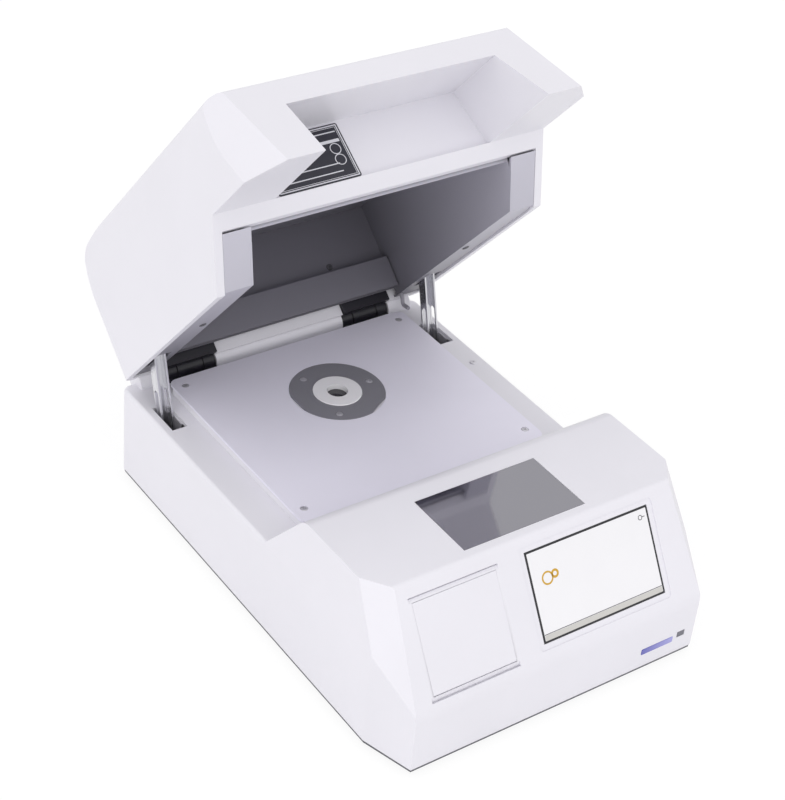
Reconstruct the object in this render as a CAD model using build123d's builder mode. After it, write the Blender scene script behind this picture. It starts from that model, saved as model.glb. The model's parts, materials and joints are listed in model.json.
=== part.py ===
from build123d import *
from math import cos, radians, sin
import os

os.makedirs("parts", exist_ok=True)

# Benchtop x-ray fluorescence analyzer with its lid swung open.
# X runs across the body, Y from the front to the back, Z up from the bench.
# The origin lies on the bench under the middle of the open instrument.

# Body sizes
body_width = 279.0
body_depth = 390.0
front_y = -231.4
foot_height = 4.0
foot_radius = 9.0
foot_margin = 26.0
foot_round = 1.0
pan_thickness = 2.5
pan_inset = 0.6
deck_height = 80.0
console_height = 127.0
front_face_height = 50.0
front_face_inset = 12.5
panel_top_inset = 7.0
console_top_inset = 4.5
shoulder_height = 78.0
panel_run = 48.0
console_depth = 134.8
slope_run = 40.5
front_corner_run = 39.8
console_corner_run = 68.0
casing_wall = 3.5
rear_corner_radius = 7.0
deck_edge_radius = 3.0
panel_foot_radius = 22.0
panel_top_radius = 5.0
console_back_radius = 16.0
boss_radius = 4.5
boss_margin = 17.0

# Lid sizes, drawn with the lid closed
lid_opening = 49.3
hinge_inset = 2.0
hinge_rise = 2.0
lid_overhang = 2.0
lid_wall = 5.5
rim_gap = 2.5
nose_gap = 2.2
lid_height = 120.4
lid_slope_gap = 1.6
nose_front = 49.0
nose_top = 100.0
crown_inset = 56.0
lid_rear_inset = 10.5
lid_fall = 8.0
lid_top_inset = 12.5
nose_edge_radius = 7.0
crown_radius = 40.0
lid_rear_radius = 12.0
lid_side_radius = 8.0
lid_corner_radius = 9.0
recess_width = 184.0
recess_top_width = 174.0
recess_height = 46.8
recess_ledge = 4.5
recess_lean = 7.0
recess_wall = 3.5
band_height = 10.5
side_margin = 1.1
band_lap = 2.0

# Hinge sizes
ridge_radius = 10.0
ridge_inset = 11.5
hinge_near = 60.0
hinge_width = 46.0
knuckle_radius = 9.0
knuckle_width = 10.5
hinge_play = 0.6
hinge_pin_radius = 2.5
notch_front = 12.0
leaf_thickness = 3.2
leaf_reach = 32.0
leaf_setback = 1.0
lid_leaf_height = 24.0
sweep_gap = 1.5

# Lid liner sizes
liner_sheet = 1.5
liner_gap = 0.3
liner_lift = 1.5
chamber_side_inset = 29.5
chamber_front_gap = 3.0
chamber_rear_inset = 23.0
chamber_height = 81.0
rear_wall_gap = 1.5
rear_panel_height = 26.0
rear_panel_depth = 9.0
rear_panel_margin = 1.0
rear_screw_across = 61.0
rear_screw_rise = 40.0
flange_screw_side = 22.5
flange_screw_inset = 133.0
plate_label_width = 68.0
plate_label_height = 44.0
plate_label_centre = -52.0
plate_label_thickness = 0.8
plate_label_corner = 1.5

# Lid stay sizes
stay_width = 10.0
stay_depth = 9.0
stay_sheet = 1.5
stay_reach = 83.0
stay_top = 6.0
stay_side = 13.7
stay_pivot_inset = 55.8
stay_pivot_rise = 9.5
stay_tilt = 15.5
stay_pin_radius = 2.0
stay_play = 0.8
guide_pin_inset = 51.7
guide_pin_drop = 25.0
guide_sheet = 1.2
guide_rear_inset = 33.0
guide_length = 28.0
guide_depth = 31.0
stay_slot_width = 13.0
stay_slot_inset = 37.0
stay_slot_length = 32.0
liner_slot_length = 28.0
running_fit = 0.06

# Interlock sizes
rod_radius = 1.7
rod_side = 24.5
rod_hole_inset = 34.0
rod_hole_length = 18.0
rod_hole_width = 6.4
rod_root_inset = 23.5
rod_knee_inset = 20.1
rod_knee_drop = 4.6
rod_tip_inset = 25.9
rod_tip_drop = 10.2
switch_length = 20.0
switch_width = 6.5
switch_height = 11.0
switch_gap = 0.4

# Sample table sizes
plate_side_inset = 29.0
plate_rear_inset = 22.0
plate_lap = 4.3
plate_thickness = 1.6
plate_corner_radius = 7.0
pedestal_height = 7.4
pedestal_margin = 1.5
plate_screw_side = 9.5
plate_screw_front = 14.0
plate_screw_rear = 11.0
disc_radius = 37.9
disc_inset = 94.6
disc_thickness = 1.6
disc_flat = 35.6
disc_screw_circle = 30.0
ring_radius = 19.5
ring_thickness = 2.4
ring_rise = 0.6
aperture_radius = 8.3
window_bore = 26.0
seat_gap = 0.2
film_thickness = 0.3
screw_radius = 2.8
screw_shank = 1.5
screw_length = 4.0
screw_head = 1.1
edge_round = 0.5
deck_screw_side = 12.0
deck_screw_inset = 103.0

# Console sizes
mirror_centre = -3.7
mirror_width = 105.6
mirror_start = 56.3
mirror_length = 59.3
mirror_thickness = 1.5
display_width = 111.0
display_height = 66.4
display_centre = 41.2
display_down = 44.3
display_border = 1.7
display_thickness = 2.4
display_recess = 0.8
display_margin = 4.6
display_corner = 3.0
module_depth = 8.0
module_border = 5.0
door_width = 70.0
door_height = 66.0
door_side = 45.0
door_down = 47.6
door_thickness = 3.0
door_gap = 0.35
door_side_gap = 0.12
door_pin_radius = 0.8
door_pin_length = 6.0
door_pin_bite = 4.0
door_edge_flat = 0.04
groove_height = 3.8
groove_spread = 2.4
groove_slit = 1.2
groove_fall = 1.5
bay_depth = 48.0
bay_wall = 1.5
roll_radius = 19.0
roll_core = 6.0
roll_width = 57.0
roll_down = 38.0
roll_inward = 27.0
platen_radius = 5.0
platen_width = 58.0
platen_down = 70.0
platen_inward = 11.0
head_height = 9.0
head_depth = 12.0
lens_width = 30.0
lens_height = 5.2
lens_side = 35.4
lens_rise = 17.2
lens_corner = 1.0
indicator_width = 7.0
indicator_height = 5.0
indicator_side = 12.8
indicator_rise = 19.2
trim_depth = 1.2

# Inside sizes
head_block_radius = 24.0
head_block_height = 22.0
tube_radius = 17.0
tube_flange = 22.0
tube_flange_height = 5.0
tube_round = 3.0
detector_radius = 9.0
detector_length = 70.0
detector_chamfer = 2.0
stand_wall = 2.0
supply_width = 66.0
supply_depth = 120.0
supply_height = 48.0
supply_across = -66.0
converter_width = 60.0
converter_depth = 110.0
converter_height = 40.0
converter_across = 66.0
box_inset = 100.0
box_corner = 3.0
board_width = 160.0
board_depth = 90.0
board_thickness = 1.6
board_back = 140.0
standoff_height = 6.0
standoff_radius = 3.0
chip_size = 24.0
chip_height = 3.0
fan_size = 60.0
fan_depth = 15.0
fan_across = -52.0
fan_height = 36.0
fan_bore = 28.0
fan_hub = 11.0
fan_corner = 4.0
fan_blades = 7
vent_slots = 7
vent_slot = 3.0
inlet_width = 27.5
inlet_height = 20.0
inlet_across = 84.0
inlet_level = 34.0
inlet_depth = 24.0
inlet_flange = 3.0
socket_side = 1.25
socket_lip = 1.5
socket_corner = 2.0
prong_across = 7.0
prong_rise = 2.0
prong_thickness = 2.0
prong_width = 4.0
rocker_width = 13.0
rocker_height = 19.0
rocker_across = 50.0
rocker_swing = 8.0
rocker_margin = 1.0
switch_body_depth = 16.0
port_width = 46.0
port_height = 18.0
port_across = 10.0
port_depth = 12.0
usb_across = 13.0
usb_spread = 3.5
usb_width = 13.0
usb_height = 5.0
network_across = 9.0
network_width = 15.0
network_height = 12.0
cover_flange = 1.5
cover_corner = 1.0

# Places worked out from the sizes
base_z = foot_height
casing_z = base_z + pan_thickness
deck_z = base_z + deck_height
console_z = base_z + console_height
panel_foot_z = base_z + front_face_height
back_y = front_y + body_depth
console_back = front_y + console_depth
slope_foot = console_back + slope_run
half_width = body_width / 2
front_face_width = body_width - 2 * front_face_inset
panel_top_width = front_face_width - 2 * panel_top_inset
console_top_width = body_width - 2 * console_top_inset
deck_underside = deck_z - casing_wall
hinge_y = back_y - hinge_inset
hinge_z = deck_z + hinge_rise
rim_z = deck_z + rim_gap
nose_z = console_z + nose_gap
lid_z = deck_z + lid_height
lid_half = half_width + lid_overhang
lid_top_width = 2 * (lid_half - lid_top_inset)
lid_back = body_depth - lid_rear_inset
lid_crown = body_depth - crown_inset
slope_lean = slope_run / (console_height - deck_height)
lid_front_shoulder = console_depth - nose_gap * slope_lean + lid_slope_gap
lid_front_foot = console_depth + slope_run - rim_gap * slope_lean + lid_slope_gap
recess_back = lid_front_shoulder + recess_ledge
recess_top_back = recess_back + recess_lean
chamber_front = recess_top_back + recess_wall + chamber_front_gap + liner_sheet
chamber_back = body_depth - chamber_rear_inset
chamber_half = lid_half - chamber_side_inset
ridge_half = half_width - ridge_inset
stay_centre = half_width - stay_side
rod_across = half_width - rod_side
pedestal_z = deck_z + pedestal_height
plate_z = pedestal_z + plate_thickness
plate_width = body_width - 2 * plate_side_inset
plate_front_y = slope_foot - plate_lap
plate_back_y = back_y - plate_rear_inset
plate_length = plate_back_y - plate_front_y
plate_y = (plate_front_y + plate_back_y) / 2
disc_y = back_y - disc_inset
door_centre = door_side - panel_top_width / 2
lens_centre = front_face_width / 2 - lens_side
indicator_centre = front_face_width / 2 - indicator_side
far = 3 * body_width
hinge_axis = Axis((0, hinge_y, hinge_z), (1, 0, 0))

# The slanted front panel seen square on, with its top edge at local Y = 0
panel_plane = Plane(
    origin=(0, front_y + panel_run, console_z),
    x_dir=(1, 0, 0),
    z_dir=(0, front_face_height - console_height, panel_run),
)


def front_corner(side, proud):
    """Slanting plane that cuts a front corner, its normal pointing outwards."""
    low = Vector(side * front_face_width / 2, front_y, panel_foot_z)
    top = Vector(side * panel_top_width / 2, front_y + panel_run, console_z)
    rear = Vector(side * console_top_width / 2, front_y + console_corner_run, console_z)
    normal = (rear - low).cross(top - low) * side
    return Plane(origin=low, x_dir=top - low, z_dir=normal).offset(proud)


def profile(points, rounds=()):
    """Closed outline through the points, with some of its corners rounded."""
    Polygon(*points, align=None)
    for point, radius in rounds:
        fillet(vertices().sort_by_distance(point)[0], radius=radius)


def swung_open(piece):
    """A lid piece, drawn closed, turned up to where the open lid holds it."""
    return piece.rotate(hinge_axis, -lid_opening)


def casing_form(inset, floor_z):
    """Outer form of the casing, drawn in by inset on every face but its bottom."""
    half = half_width - inset
    rear = back_y - inset
    with BuildPart() as block:
        with BuildSketch(Plane.XY.offset(floor_z)):
            rear_corners = [((-half, rear), rear_corner_radius - inset),
                            ((half, rear), rear_corner_radius - inset)]
            profile([(-half, console_back), (half, console_back), (half, rear), (-half, rear)],
                    rear_corners)
        extrude(amount=deck_z - inset - floor_z)
        top_edges = block.faces().sort_by(Axis.Z)[-1].edges().sort_by(Axis.Y)
        fillet(top_edges[1:], radius=max(deck_edge_radius - 2 * inset, 1))
    with BuildPart() as console:
        with BuildSketch(Plane.YZ):
            profile(
                [
                    (front_y, floor_z - inset),
                    (front_y, panel_foot_z),
                    (front_y + panel_run, console_z),
                    (console_back, console_z),
                    (slope_foot, deck_z),
                    (slope_foot + inset, floor_z - inset),
                ],
                [
                    ((front_y, panel_foot_z), panel_foot_radius),
                    ((front_y + panel_run, console_z), panel_top_radius + inset),
                    ((console_back, console_z), console_back_radius + inset),
                ],
            )
            if inset > 0:
                offset(amount=-inset, kind=Kind.INTERSECTION)
        extrude(amount=far, both=True)
        with BuildSketch(Plane.XZ):
            top_half = console_top_width / 2 - inset
            profile([
                (-half, floor_z - far), (half, floor_z - far),
                (half, base_z + shoulder_height), (top_half, console_z),
                (top_half, console_z + far), (-top_half, console_z + far),
                (-top_half, console_z), (-half, base_z + shoulder_height),
            ])
        extrude(amount=far, both=True, mode=Mode.INTERSECT)
        with BuildSketch(Plane.XY):
            front_half = front_face_width / 2 - inset
            profile([
                (-front_half, front_y), (front_half, front_y),
                (half, front_y + front_corner_run), (half, rear),
                (-half, rear), (-half, front_y + front_corner_run),
            ])
        extrude(amount=far, both=True, mode=Mode.INTERSECT)
        for side in (-1, 1):
            split(bisect_by=front_corner(side, -inset), keep=Keep.BOTTOM)
    return block.part + console.part


def lid_form(inset):
    """Outer form of the closed lid, drawn in by inset, its rim left open below."""
    drop = 4 * inset
    foot_run = drop * (lid_front_foot - lid_front_shoulder) / (nose_z - rim_z)
    with BuildPart() as form:
        with BuildSketch(Plane.YZ):
            profile(
                [
                    (front_y + lid_back, rim_z - drop),
                    (front_y + lid_front_foot + foot_run, rim_z - drop),
                    (front_y + lid_front_shoulder, nose_z),
                    (front_y + nose_front, nose_z),
                    (front_y + nose_top, lid_z),
                    (front_y + lid_crown, lid_z),
                    (front_y + lid_back, lid_z - lid_fall),
                ],
                [
                    ((front_y + nose_top, lid_z), nose_edge_radius + inset),
                    ((front_y + lid_crown, lid_z), crown_radius),
                    ((front_y + lid_back, lid_z - lid_fall), lid_rear_radius),
                ],
            )
            if inset > 0:
                offset(amount=-inset, kind=Kind.INTERSECTION)
        extrude(amount=far, both=True)
        with BuildSketch(Plane.XZ):
            foot_half = lid_half - inset
            top_half = lid_top_width / 2 - inset
            top = lid_z - inset
            with BuildLine():
                Polyline((0, rim_z - far), (foot_half, rim_z - far), (foot_half, nose_z))
                TangentArc((foot_half, nose_z), (top_half, top), tangent=(0, 1))
                Polyline((top_half, top), (0, top), (0, rim_z - far))
            make_face()
            fillet(vertices().sort_by_distance((top_half, top))[0], radius=lid_side_radius - inset / 2)
            mirror(about=Plane.YZ)
        extrude(amount=far, both=True, mode=Mode.INTERSECT)
        with BuildSketch(Plane.XY):
            rear = front_y + lid_back - inset
            profile(
                [(-foot_half, front_y), (foot_half, front_y), (foot_half, rear), (-foot_half, rear)],
                [((-foot_half, rear), lid_corner_radius - inset),
                 ((foot_half, rear), lid_corner_radius - inset)],
            )
        extrude(amount=far, both=True, mode=Mode.INTERSECT)
        for side in (-1, 1):
            split(bisect_by=front_corner(side, 1 - inset), keep=Keep.BOTTOM)
    return form.part


def recess_form(grow):
    """Hand recess under the lid's nose, or with grow the block of wall around it."""
    low_z = nose_z - 4 * recess_wall
    step_y = front_y + (lid_front_shoulder if grow == 0 else recess_back + grow)
    with BuildPart() as form:
        with BuildSketch(Plane.YZ):
            profile([
                (front_y - far, low_z), (step_y, low_z), (step_y, nose_z),
                (front_y + recess_back + grow, nose_z - 0.01 * grow),
                (front_y + recess_top_back + grow, nose_z + recess_height + grow),
                (front_y - far, nose_z + recess_height + grow),
            ])
        extrude(amount=far, both=True)
        with BuildSketch(Plane.XZ):
            low_half = recess_width / 2 + grow
            top_half = recess_top_width / 2 + grow
            profile([
                (-low_half, low_z), (low_half, low_z), (low_half, nose_z),
                (top_half, nose_z + recess_height + grow),
                (-top_half, nose_z + recess_height + grow), (-low_half, nose_z),
            ])
        extrude(amount=far, both=True, mode=Mode.INTERSECT)
    return form.part


# Casing: one moulded shell with the sample table, the console and the hinge ridge
casing_skin = casing_form(0, casing_z)
casing_hollow = casing_form(casing_wall, casing_z - casing_wall)
notch_places = [side * (hinge_near + hinge_width / 2) for side in (-1, 1)]
slot_places = [(side * stay_centre, back_y - stay_slot_inset - stay_slot_length / 2) for side in (-1, 1)]
pedestal_length = plate_length - 2 * pedestal_margin
pedestal_width = plate_width - 2 * pedestal_margin
front_boss = (half_width - boss_margin, front_y + console_corner_run)
rear_boss = (half_width - boss_margin, back_y - boss_margin)
boss_places = [(side * x, y) for x, y in (front_boss, rear_boss) for side in (-1, 1)]
plate_screws_at = [(side * (plate_width / 2 - plate_screw_side), y)
                   for y in (plate_front_y + plate_screw_front, plate_back_y - plate_screw_rear)
                   for side in (-1, 1)]
disc_screws_at = [(disc_screw_circle * cos(radians(turn)), disc_y + disc_screw_circle * sin(radians(turn)))
                  for turn in (0, 120, 240)]
deck_screw_at = (half_width - deck_screw_side, back_y - deck_screw_inset)
rear_plane = Plane(origin=(0, back_y, base_z), x_dir=(-1, 0, 0), z_dir=(0, 1, 0))

with BuildPart() as base_casing:
    add(casing_skin)
    add(casing_hollow, mode=Mode.SUBTRACT)
    with BuildSketch(Plane.XY.offset(deck_z - casing_wall)):
        with Locations((0, plate_y)):
            Rectangle(pedestal_width, pedestal_length)
        fillet(vertices(), radius=plate_corner_radius - pedestal_margin)
    extrude(amount=casing_wall + pedestal_height)
    with BuildSketch(Plane.XY.offset(deck_underside)):
        with Locations((0, plate_y)):
            Rectangle(pedestal_width - 2 * casing_wall, pedestal_length - 2 * casing_wall)
    extrude(amount=pedestal_height, mode=Mode.SUBTRACT)
    with BuildSketch(Plane.YZ):
        with Locations((hinge_y, hinge_z)):
            Circle(ridge_radius)
    extrude(amount=ridge_half, both=True)
    for across in notch_places:
        with BuildSketch(Plane.XY.offset(hinge_z - knuckle_radius - hinge_play)):
            with Locations((across, hinge_y - notch_front + far / 2)):
                Rectangle(hinge_width, far)
        extrude(amount=far, mode=Mode.SUBTRACT)
    with BuildSketch(Plane.XY.offset(deck_underside - casing_wall / 2)):
        with Locations(*slot_places):
            Rectangle(stay_slot_width, stay_slot_length)
        with Locations((rod_across, back_y - rod_hole_inset + rod_hole_length / 2)):
            Rectangle(rod_hole_width, rod_hole_length)
    extrude(amount=2 * casing_wall, mode=Mode.SUBTRACT)
    with BuildSketch(Plane.XY.offset(casing_z)):
        with Locations(*boss_places[:2]):
            Circle(boss_radius)
    extrude(amount=console_z - casing_wall / 2 - casing_z)
    with BuildSketch(Plane.XY.offset(casing_z)):
        with Locations(*boss_places[2:]):
            Circle(boss_radius)
    extrude(amount=deck_z - casing_wall / 2 - casing_z)
    with BuildSketch(Plane.XY.offset(casing_z)):
        with Locations(*boss_places):
            Circle(screw_shank)
    extrude(amount=3 * screw_length, mode=Mode.SUBTRACT)
    with BuildSketch(Plane.XY.offset(pedestal_z)):
        with Locations((0, disc_y)):
            Circle(window_bore)
        with Locations(*plate_screws_at):
            Circle(screw_shank)
        with Locations(*disc_screws_at):
            Circle(screw_shank)
    extrude(amount=-pedestal_height - casing_wall, mode=Mode.SUBTRACT)
    with BuildSketch(Plane.XY.offset(deck_z)):
        with Locations(deck_screw_at):
            Circle(screw_shank)
    extrude(amount=-casing_wall, mode=Mode.SUBTRACT)
    with BuildSketch(Plane.XY.offset(console_z)):
        with Locations((mirror_centre, front_y + mirror_start + mirror_length / 2)):
            Rectangle(mirror_width + 2 * seat_gap, mirror_length + 2 * seat_gap)
    extrude(amount=-mirror_thickness, mode=Mode.SUBTRACT)
    with BuildSketch(panel_plane):
        with Locations((display_centre, -display_down)):
            RectangleRounded(display_width + 2 * display_margin, display_height + 2 * display_margin,
                             display_corner)
    extrude(amount=-display_recess, mode=Mode.SUBTRACT)
    with BuildSketch(panel_plane):
        with Locations((display_centre, -display_down)):
            Rectangle(display_width + 2 * seat_gap, display_height + 2 * seat_gap)
        with Locations((door_centre, -door_down)):
            Rectangle(door_width + 2 * door_side_gap, door_height + 2 * door_gap)
    extrude(amount=-2 * casing_wall, mode=Mode.SUBTRACT)
    for side in (-1, 1):
        seam = -door_down + side * (door_height / 2 + door_gap)
        wall = seam + side * groove_height
        slit = wall - side * groove_slit
        groove_section = [panel_plane.from_local_coords((0, up, out)) for up, out in (
            (seam, 0), (slit, -groove_fall), (slit, -door_thickness),
            (wall, -door_thickness), (wall, groove_fall), (seam, groove_fall))]
        with BuildSketch(Plane.YZ.offset(door_centre)):
            profile([(spot.Y, spot.Z) for spot in groove_section])
        extrude(amount=door_width / 2 + groove_spread, both=True, mode=Mode.SUBTRACT)
        with BuildSketch(Plane.YZ.offset(door_centre + side * door_width / 2)):
            pin_spot = panel_plane.from_local_coords(
                (0, -door_down - door_height / 2 + door_thickness / 2, -door_thickness / 2))
            with Locations((pin_spot.Y, pin_spot.Z)):
                Circle(door_pin_radius)
        extrude(amount=side * (door_pin_length - door_pin_bite), mode=Mode.SUBTRACT)
    with BuildSketch(Plane.XZ.offset(-front_y)):
        with Locations((lens_centre, base_z + lens_rise)):
            RectangleRounded(lens_width + 2 * seat_gap, lens_height + 2 * seat_gap, lens_corner + seat_gap)
        with Locations((indicator_centre, base_z + indicator_rise)):
            Rectangle(indicator_width + 2 * seat_gap, indicator_height + 2 * seat_gap)
    extrude(amount=-trim_depth, mode=Mode.SUBTRACT)
    with BuildSketch(rear_plane):
        with Locations((-inlet_across, inlet_level)):
            Rectangle(inlet_width + 2 * seat_gap, inlet_height + 2 * seat_gap)
        with Locations((-rocker_across, inlet_level)):
            Rectangle(rocker_width + 2 * cover_flange, rocker_height + 2 * cover_flange)
        with Locations((-port_across, inlet_level)):
            Rectangle(port_width + 2 * seat_gap, port_height + 2 * seat_gap)
        with Locations((-fan_across, fan_height)):
            with GridLocations(0, 2 * vent_slot, 1, vent_slots):
                SlotOverall(fan_size - 4 * vent_slot, vent_slot)
    extrude(amount=-casing_wall, mode=Mode.SUBTRACT)
base_casing.part.label = "base_casing"
export_step(base_casing.part, "parts/base_casing.step")

# Bottom pan, feet and the screws that hold the pan
with BuildPart() as bottom_pan:
    with BuildSketch(Plane.XY.offset(base_z)):
        pan_half = half_width - pan_inset
        pan_front_half = front_face_width / 2 - pan_inset
        profile([
            (-pan_front_half, front_y + pan_inset), (pan_front_half, front_y + pan_inset),
            (pan_half, front_y + front_corner_run), (pan_half, back_y - pan_inset),
            (-pan_half, back_y - pan_inset), (-pan_half, front_y + front_corner_run),
        ])
        fillet(vertices().group_by(Axis.Y)[-1], radius=rear_corner_radius - pan_inset)
    extrude(amount=pan_thickness)
    with BuildSketch(Plane.XY.offset(base_z)):
        with Locations(*boss_places):
            Circle(screw_shank + running_fit)
    extrude(amount=pan_thickness, mode=Mode.SUBTRACT)
    with BuildSketch(Plane.XY.offset(base_z)):
        with Locations(*boss_places):
            Circle(screw_radius + seat_gap)
    extrude(amount=screw_head, mode=Mode.SUBTRACT)
bottom_pan.part.label = "bottom_pan"
export_step(bottom_pan.part, "parts/bottom_pan.step")

feet_places = [(side * (half_width - foot_margin), y)
               for y in (front_y + 2 * foot_margin, back_y - foot_margin) for side in (-1, 1)]
with BuildPart() as rubber_feet:
    with BuildSketch(Plane.XY):
        with Locations(*feet_places):
            Circle(foot_radius)
    extrude(amount=foot_height)
    fillet(rubber_feet.faces().group_by(Axis.Z)[0].edges(), radius=foot_round)
rubber_feet.part.label = "rubber_feet"
export_step(rubber_feet.part, "parts/rubber_feet.step")

with BuildPart() as pan_screws:
    with BuildSketch(Plane.XY.offset(base_z)):
        with Locations(*boss_places):
            Circle(screw_radius)
    extrude(amount=screw_head)
    with BuildSketch(Plane.XY.offset(base_z)):
        with Locations(*boss_places):
            Circle(screw_shank)
    extrude(amount=2 * screw_length)
pan_screws.part.label = "pan_screws"
export_step(pan_screws.part, "parts/pan_screws.step")

# Sample table: the satin plate, the window disc with its ring and film
with BuildPart() as sample_plate:
    with BuildSketch(Plane.XY.offset(pedestal_z)):
        with Locations((0, plate_y)):
            RectangleRounded(plate_width, plate_length, plate_corner_radius)
        with Locations((0, disc_y)):
            Circle(disc_radius + seat_gap, mode=Mode.SUBTRACT)
        with Locations(*plate_screws_at):
            Circle(screw_radius + seat_gap, mode=Mode.SUBTRACT)
    extrude(amount=plate_thickness)
sample_plate.part.label = "sample_plate"
export_step(sample_plate.part, "parts/sample_plate.step")

with BuildPart() as plate_screws:
    with BuildSketch(Plane.XY.offset(pedestal_z)):
        with Locations(*plate_screws_at):
            Circle(screw_radius)
    extrude(amount=plate_thickness)
    with BuildSketch(Plane.XY.offset(pedestal_z)):
        with Locations(*plate_screws_at):
            Circle(screw_shank)
    extrude(amount=-screw_length)
plate_screws.part.label = "plate_screws"
export_step(plate_screws.part, "parts/plate_screws.step")

with BuildPart() as window_disc:
    with BuildSketch(Plane.XY.offset(pedestal_z)):
        with Locations((0, disc_y)):
            Circle(disc_radius)
        for turn in (180, 300):
            with Locations(Location(
                    (1.5 * disc_flat * cos(radians(turn)), disc_y + 1.5 * disc_flat * sin(radians(turn))),
                    (0, 0, 1), turn)):
                Rectangle(disc_flat, 2 * disc_radius, mode=Mode.SUBTRACT)
        with Locations((0, disc_y)):
            Circle(ring_radius + seat_gap, mode=Mode.SUBTRACT)
        with Locations(*disc_screws_at):
            Circle(screw_radius + seat_gap, mode=Mode.SUBTRACT)
    extrude(amount=disc_thickness)
window_disc.part.label = "window_disc"
export_step(window_disc.part, "parts/window_disc.step")

with BuildPart() as disc_screws:
    with BuildSketch(Plane.XY.offset(pedestal_z)):
        with Locations(*disc_screws_at):
            Circle(screw_radius)
    extrude(amount=disc_thickness)
    with BuildSketch(Plane.XY.offset(pedestal_z)):
        with Locations(*disc_screws_at):
            Circle(screw_shank)
    extrude(amount=-screw_length)
disc_screws.part.label = "disc_screws"
export_step(disc_screws.part, "parts/disc_screws.step")

film_z = pedestal_z - ring_thickness
with BuildPart() as window_ring:
    with BuildSketch(Plane.XY.offset(film_z)):
        with Locations((0, disc_y)):
            Circle(ring_radius)
    extrude(amount=ring_thickness + disc_thickness + ring_rise)
    fillet(window_ring.faces().sort_by(Axis.Z)[-1].edges(), radius=edge_round)
    with BuildSketch(Plane.XY.offset(film_z)):
        with Locations((0, disc_y)):
            Circle(window_bore - seat_gap)
    extrude(amount=ring_thickness)
    with BuildSketch(Plane.XY.offset(film_z)):
        with Locations((0, disc_y)):
            Circle(aperture_radius)
    extrude(amount=2 * ring_thickness + disc_thickness, mode=Mode.SUBTRACT)
window_ring.part.label = "window_ring"
export_step(window_ring.part, "parts/window_ring.step")

with BuildPart() as window_film:
    with BuildSketch(Plane.XY.offset(film_z)):
        with Locations((0, disc_y)):
            Circle(ring_radius)
    extrude(amount=-film_thickness)
window_film.part.label = "window_film"
export_step(window_film.part, "parts/window_film.step")

with BuildPart() as deck_screw:
    with BuildSketch(Plane.XY.offset(deck_z)):
        with Locations(deck_screw_at):
            Circle(screw_radius)
    extrude(amount=screw_head)
    fillet(deck_screw.faces().sort_by(Axis.Z)[-1].edges(), radius=edge_round)
    with BuildSketch(Plane.XY.offset(deck_z)):
        with Locations(deck_screw_at):
            Circle(screw_shank)
    extrude(amount=-casing_wall)
deck_screw.part.label = "deck_screw"
export_step(deck_screw.part, "parts/deck_screw.step")

# Console: polished plate, touch display, printer behind its door, status light
with BuildPart() as mirror_plate:
    with BuildSketch(Plane.XY.offset(console_z - mirror_thickness)):
        with Locations((mirror_centre, front_y + mirror_start + mirror_length / 2)):
            Rectangle(mirror_width, mirror_length)
    extrude(amount=mirror_thickness)
mirror_plate.part.label = "mirror_plate"
export_step(mirror_plate.part, "parts/mirror_plate.step")

with BuildPart() as display_bezel:
    with BuildSketch(panel_plane.offset(-display_recess - display_thickness)):
        with Locations((display_centre, -display_down)):
            RectangleRounded(display_width, display_height, display_border)
            Rectangle(display_width - 2 * display_border, display_height - 2 * display_border,
                      mode=Mode.SUBTRACT)
    extrude(amount=display_thickness + seat_gap)
display_bezel.part.label = "display_bezel"
export_step(display_bezel.part, "parts/display_bezel.step")

with BuildPart() as display_glass:
    with BuildSketch(panel_plane.offset(-display_recess - display_thickness)):
        with Locations((display_centre, -display_down)):
            Rectangle(display_width - 2 * display_border - seat_gap,
                      display_height - 2 * display_border - seat_gap)
    extrude(amount=display_thickness)
display_glass.part.label = "display_glass"
export_step(display_glass.part, "parts/display_glass.step")

module_level = -max(display_recess + display_thickness, casing_wall)
with BuildPart() as display_module:
    with BuildSketch(panel_plane.offset(module_level)):
        with Locations((display_centre, -display_down)):
            Rectangle(display_width + module_border, display_height + module_border)
    extrude(amount=-module_depth)
display_module.part.label = "display_module"
export_step(display_module.part, "parts/display_module.step")

door_hinge = panel_plane.from_local_coords(
    (door_centre, -door_down - door_height / 2 + door_thickness / 2, -door_thickness / 2))
with BuildPart() as printer_door:
    with BuildSketch(panel_plane.offset(-door_thickness)):
        with Locations((door_centre, -door_down)):
            Rectangle(door_width, door_height)
    extrude(amount=door_thickness)
    low_edges = printer_door.edges().filter_by(Axis.X).group_by(Axis.Z)
    fillet(low_edges[0] + low_edges[1], radius=(door_thickness - door_edge_flat) / 2)
    for side in (-1, 1):
        with BuildSketch(Plane.YZ.offset(door_centre + side * door_width / 2)):
            with Locations((door_hinge.Y, door_hinge.Z)):
                Circle(door_pin_radius + running_fit)
        extrude(amount=-side * (door_pin_bite + seat_gap), mode=Mode.SUBTRACT)
printer_door.part.label = "printer_door"
export_step(printer_door.part, "parts/printer_door.step")

with BuildPart() as door_pins:
    for side in (-1, 1):
        with BuildSketch(Plane.YZ.offset(door_centre + side * (door_width / 2 - door_pin_bite))):
            with Locations((door_hinge.Y, door_hinge.Z)):
                Circle(door_pin_radius)
        extrude(amount=side * door_pin_length)
door_pins.part.label = "door_pins"
export_step(door_pins.part, "parts/door_pins.step")

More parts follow.
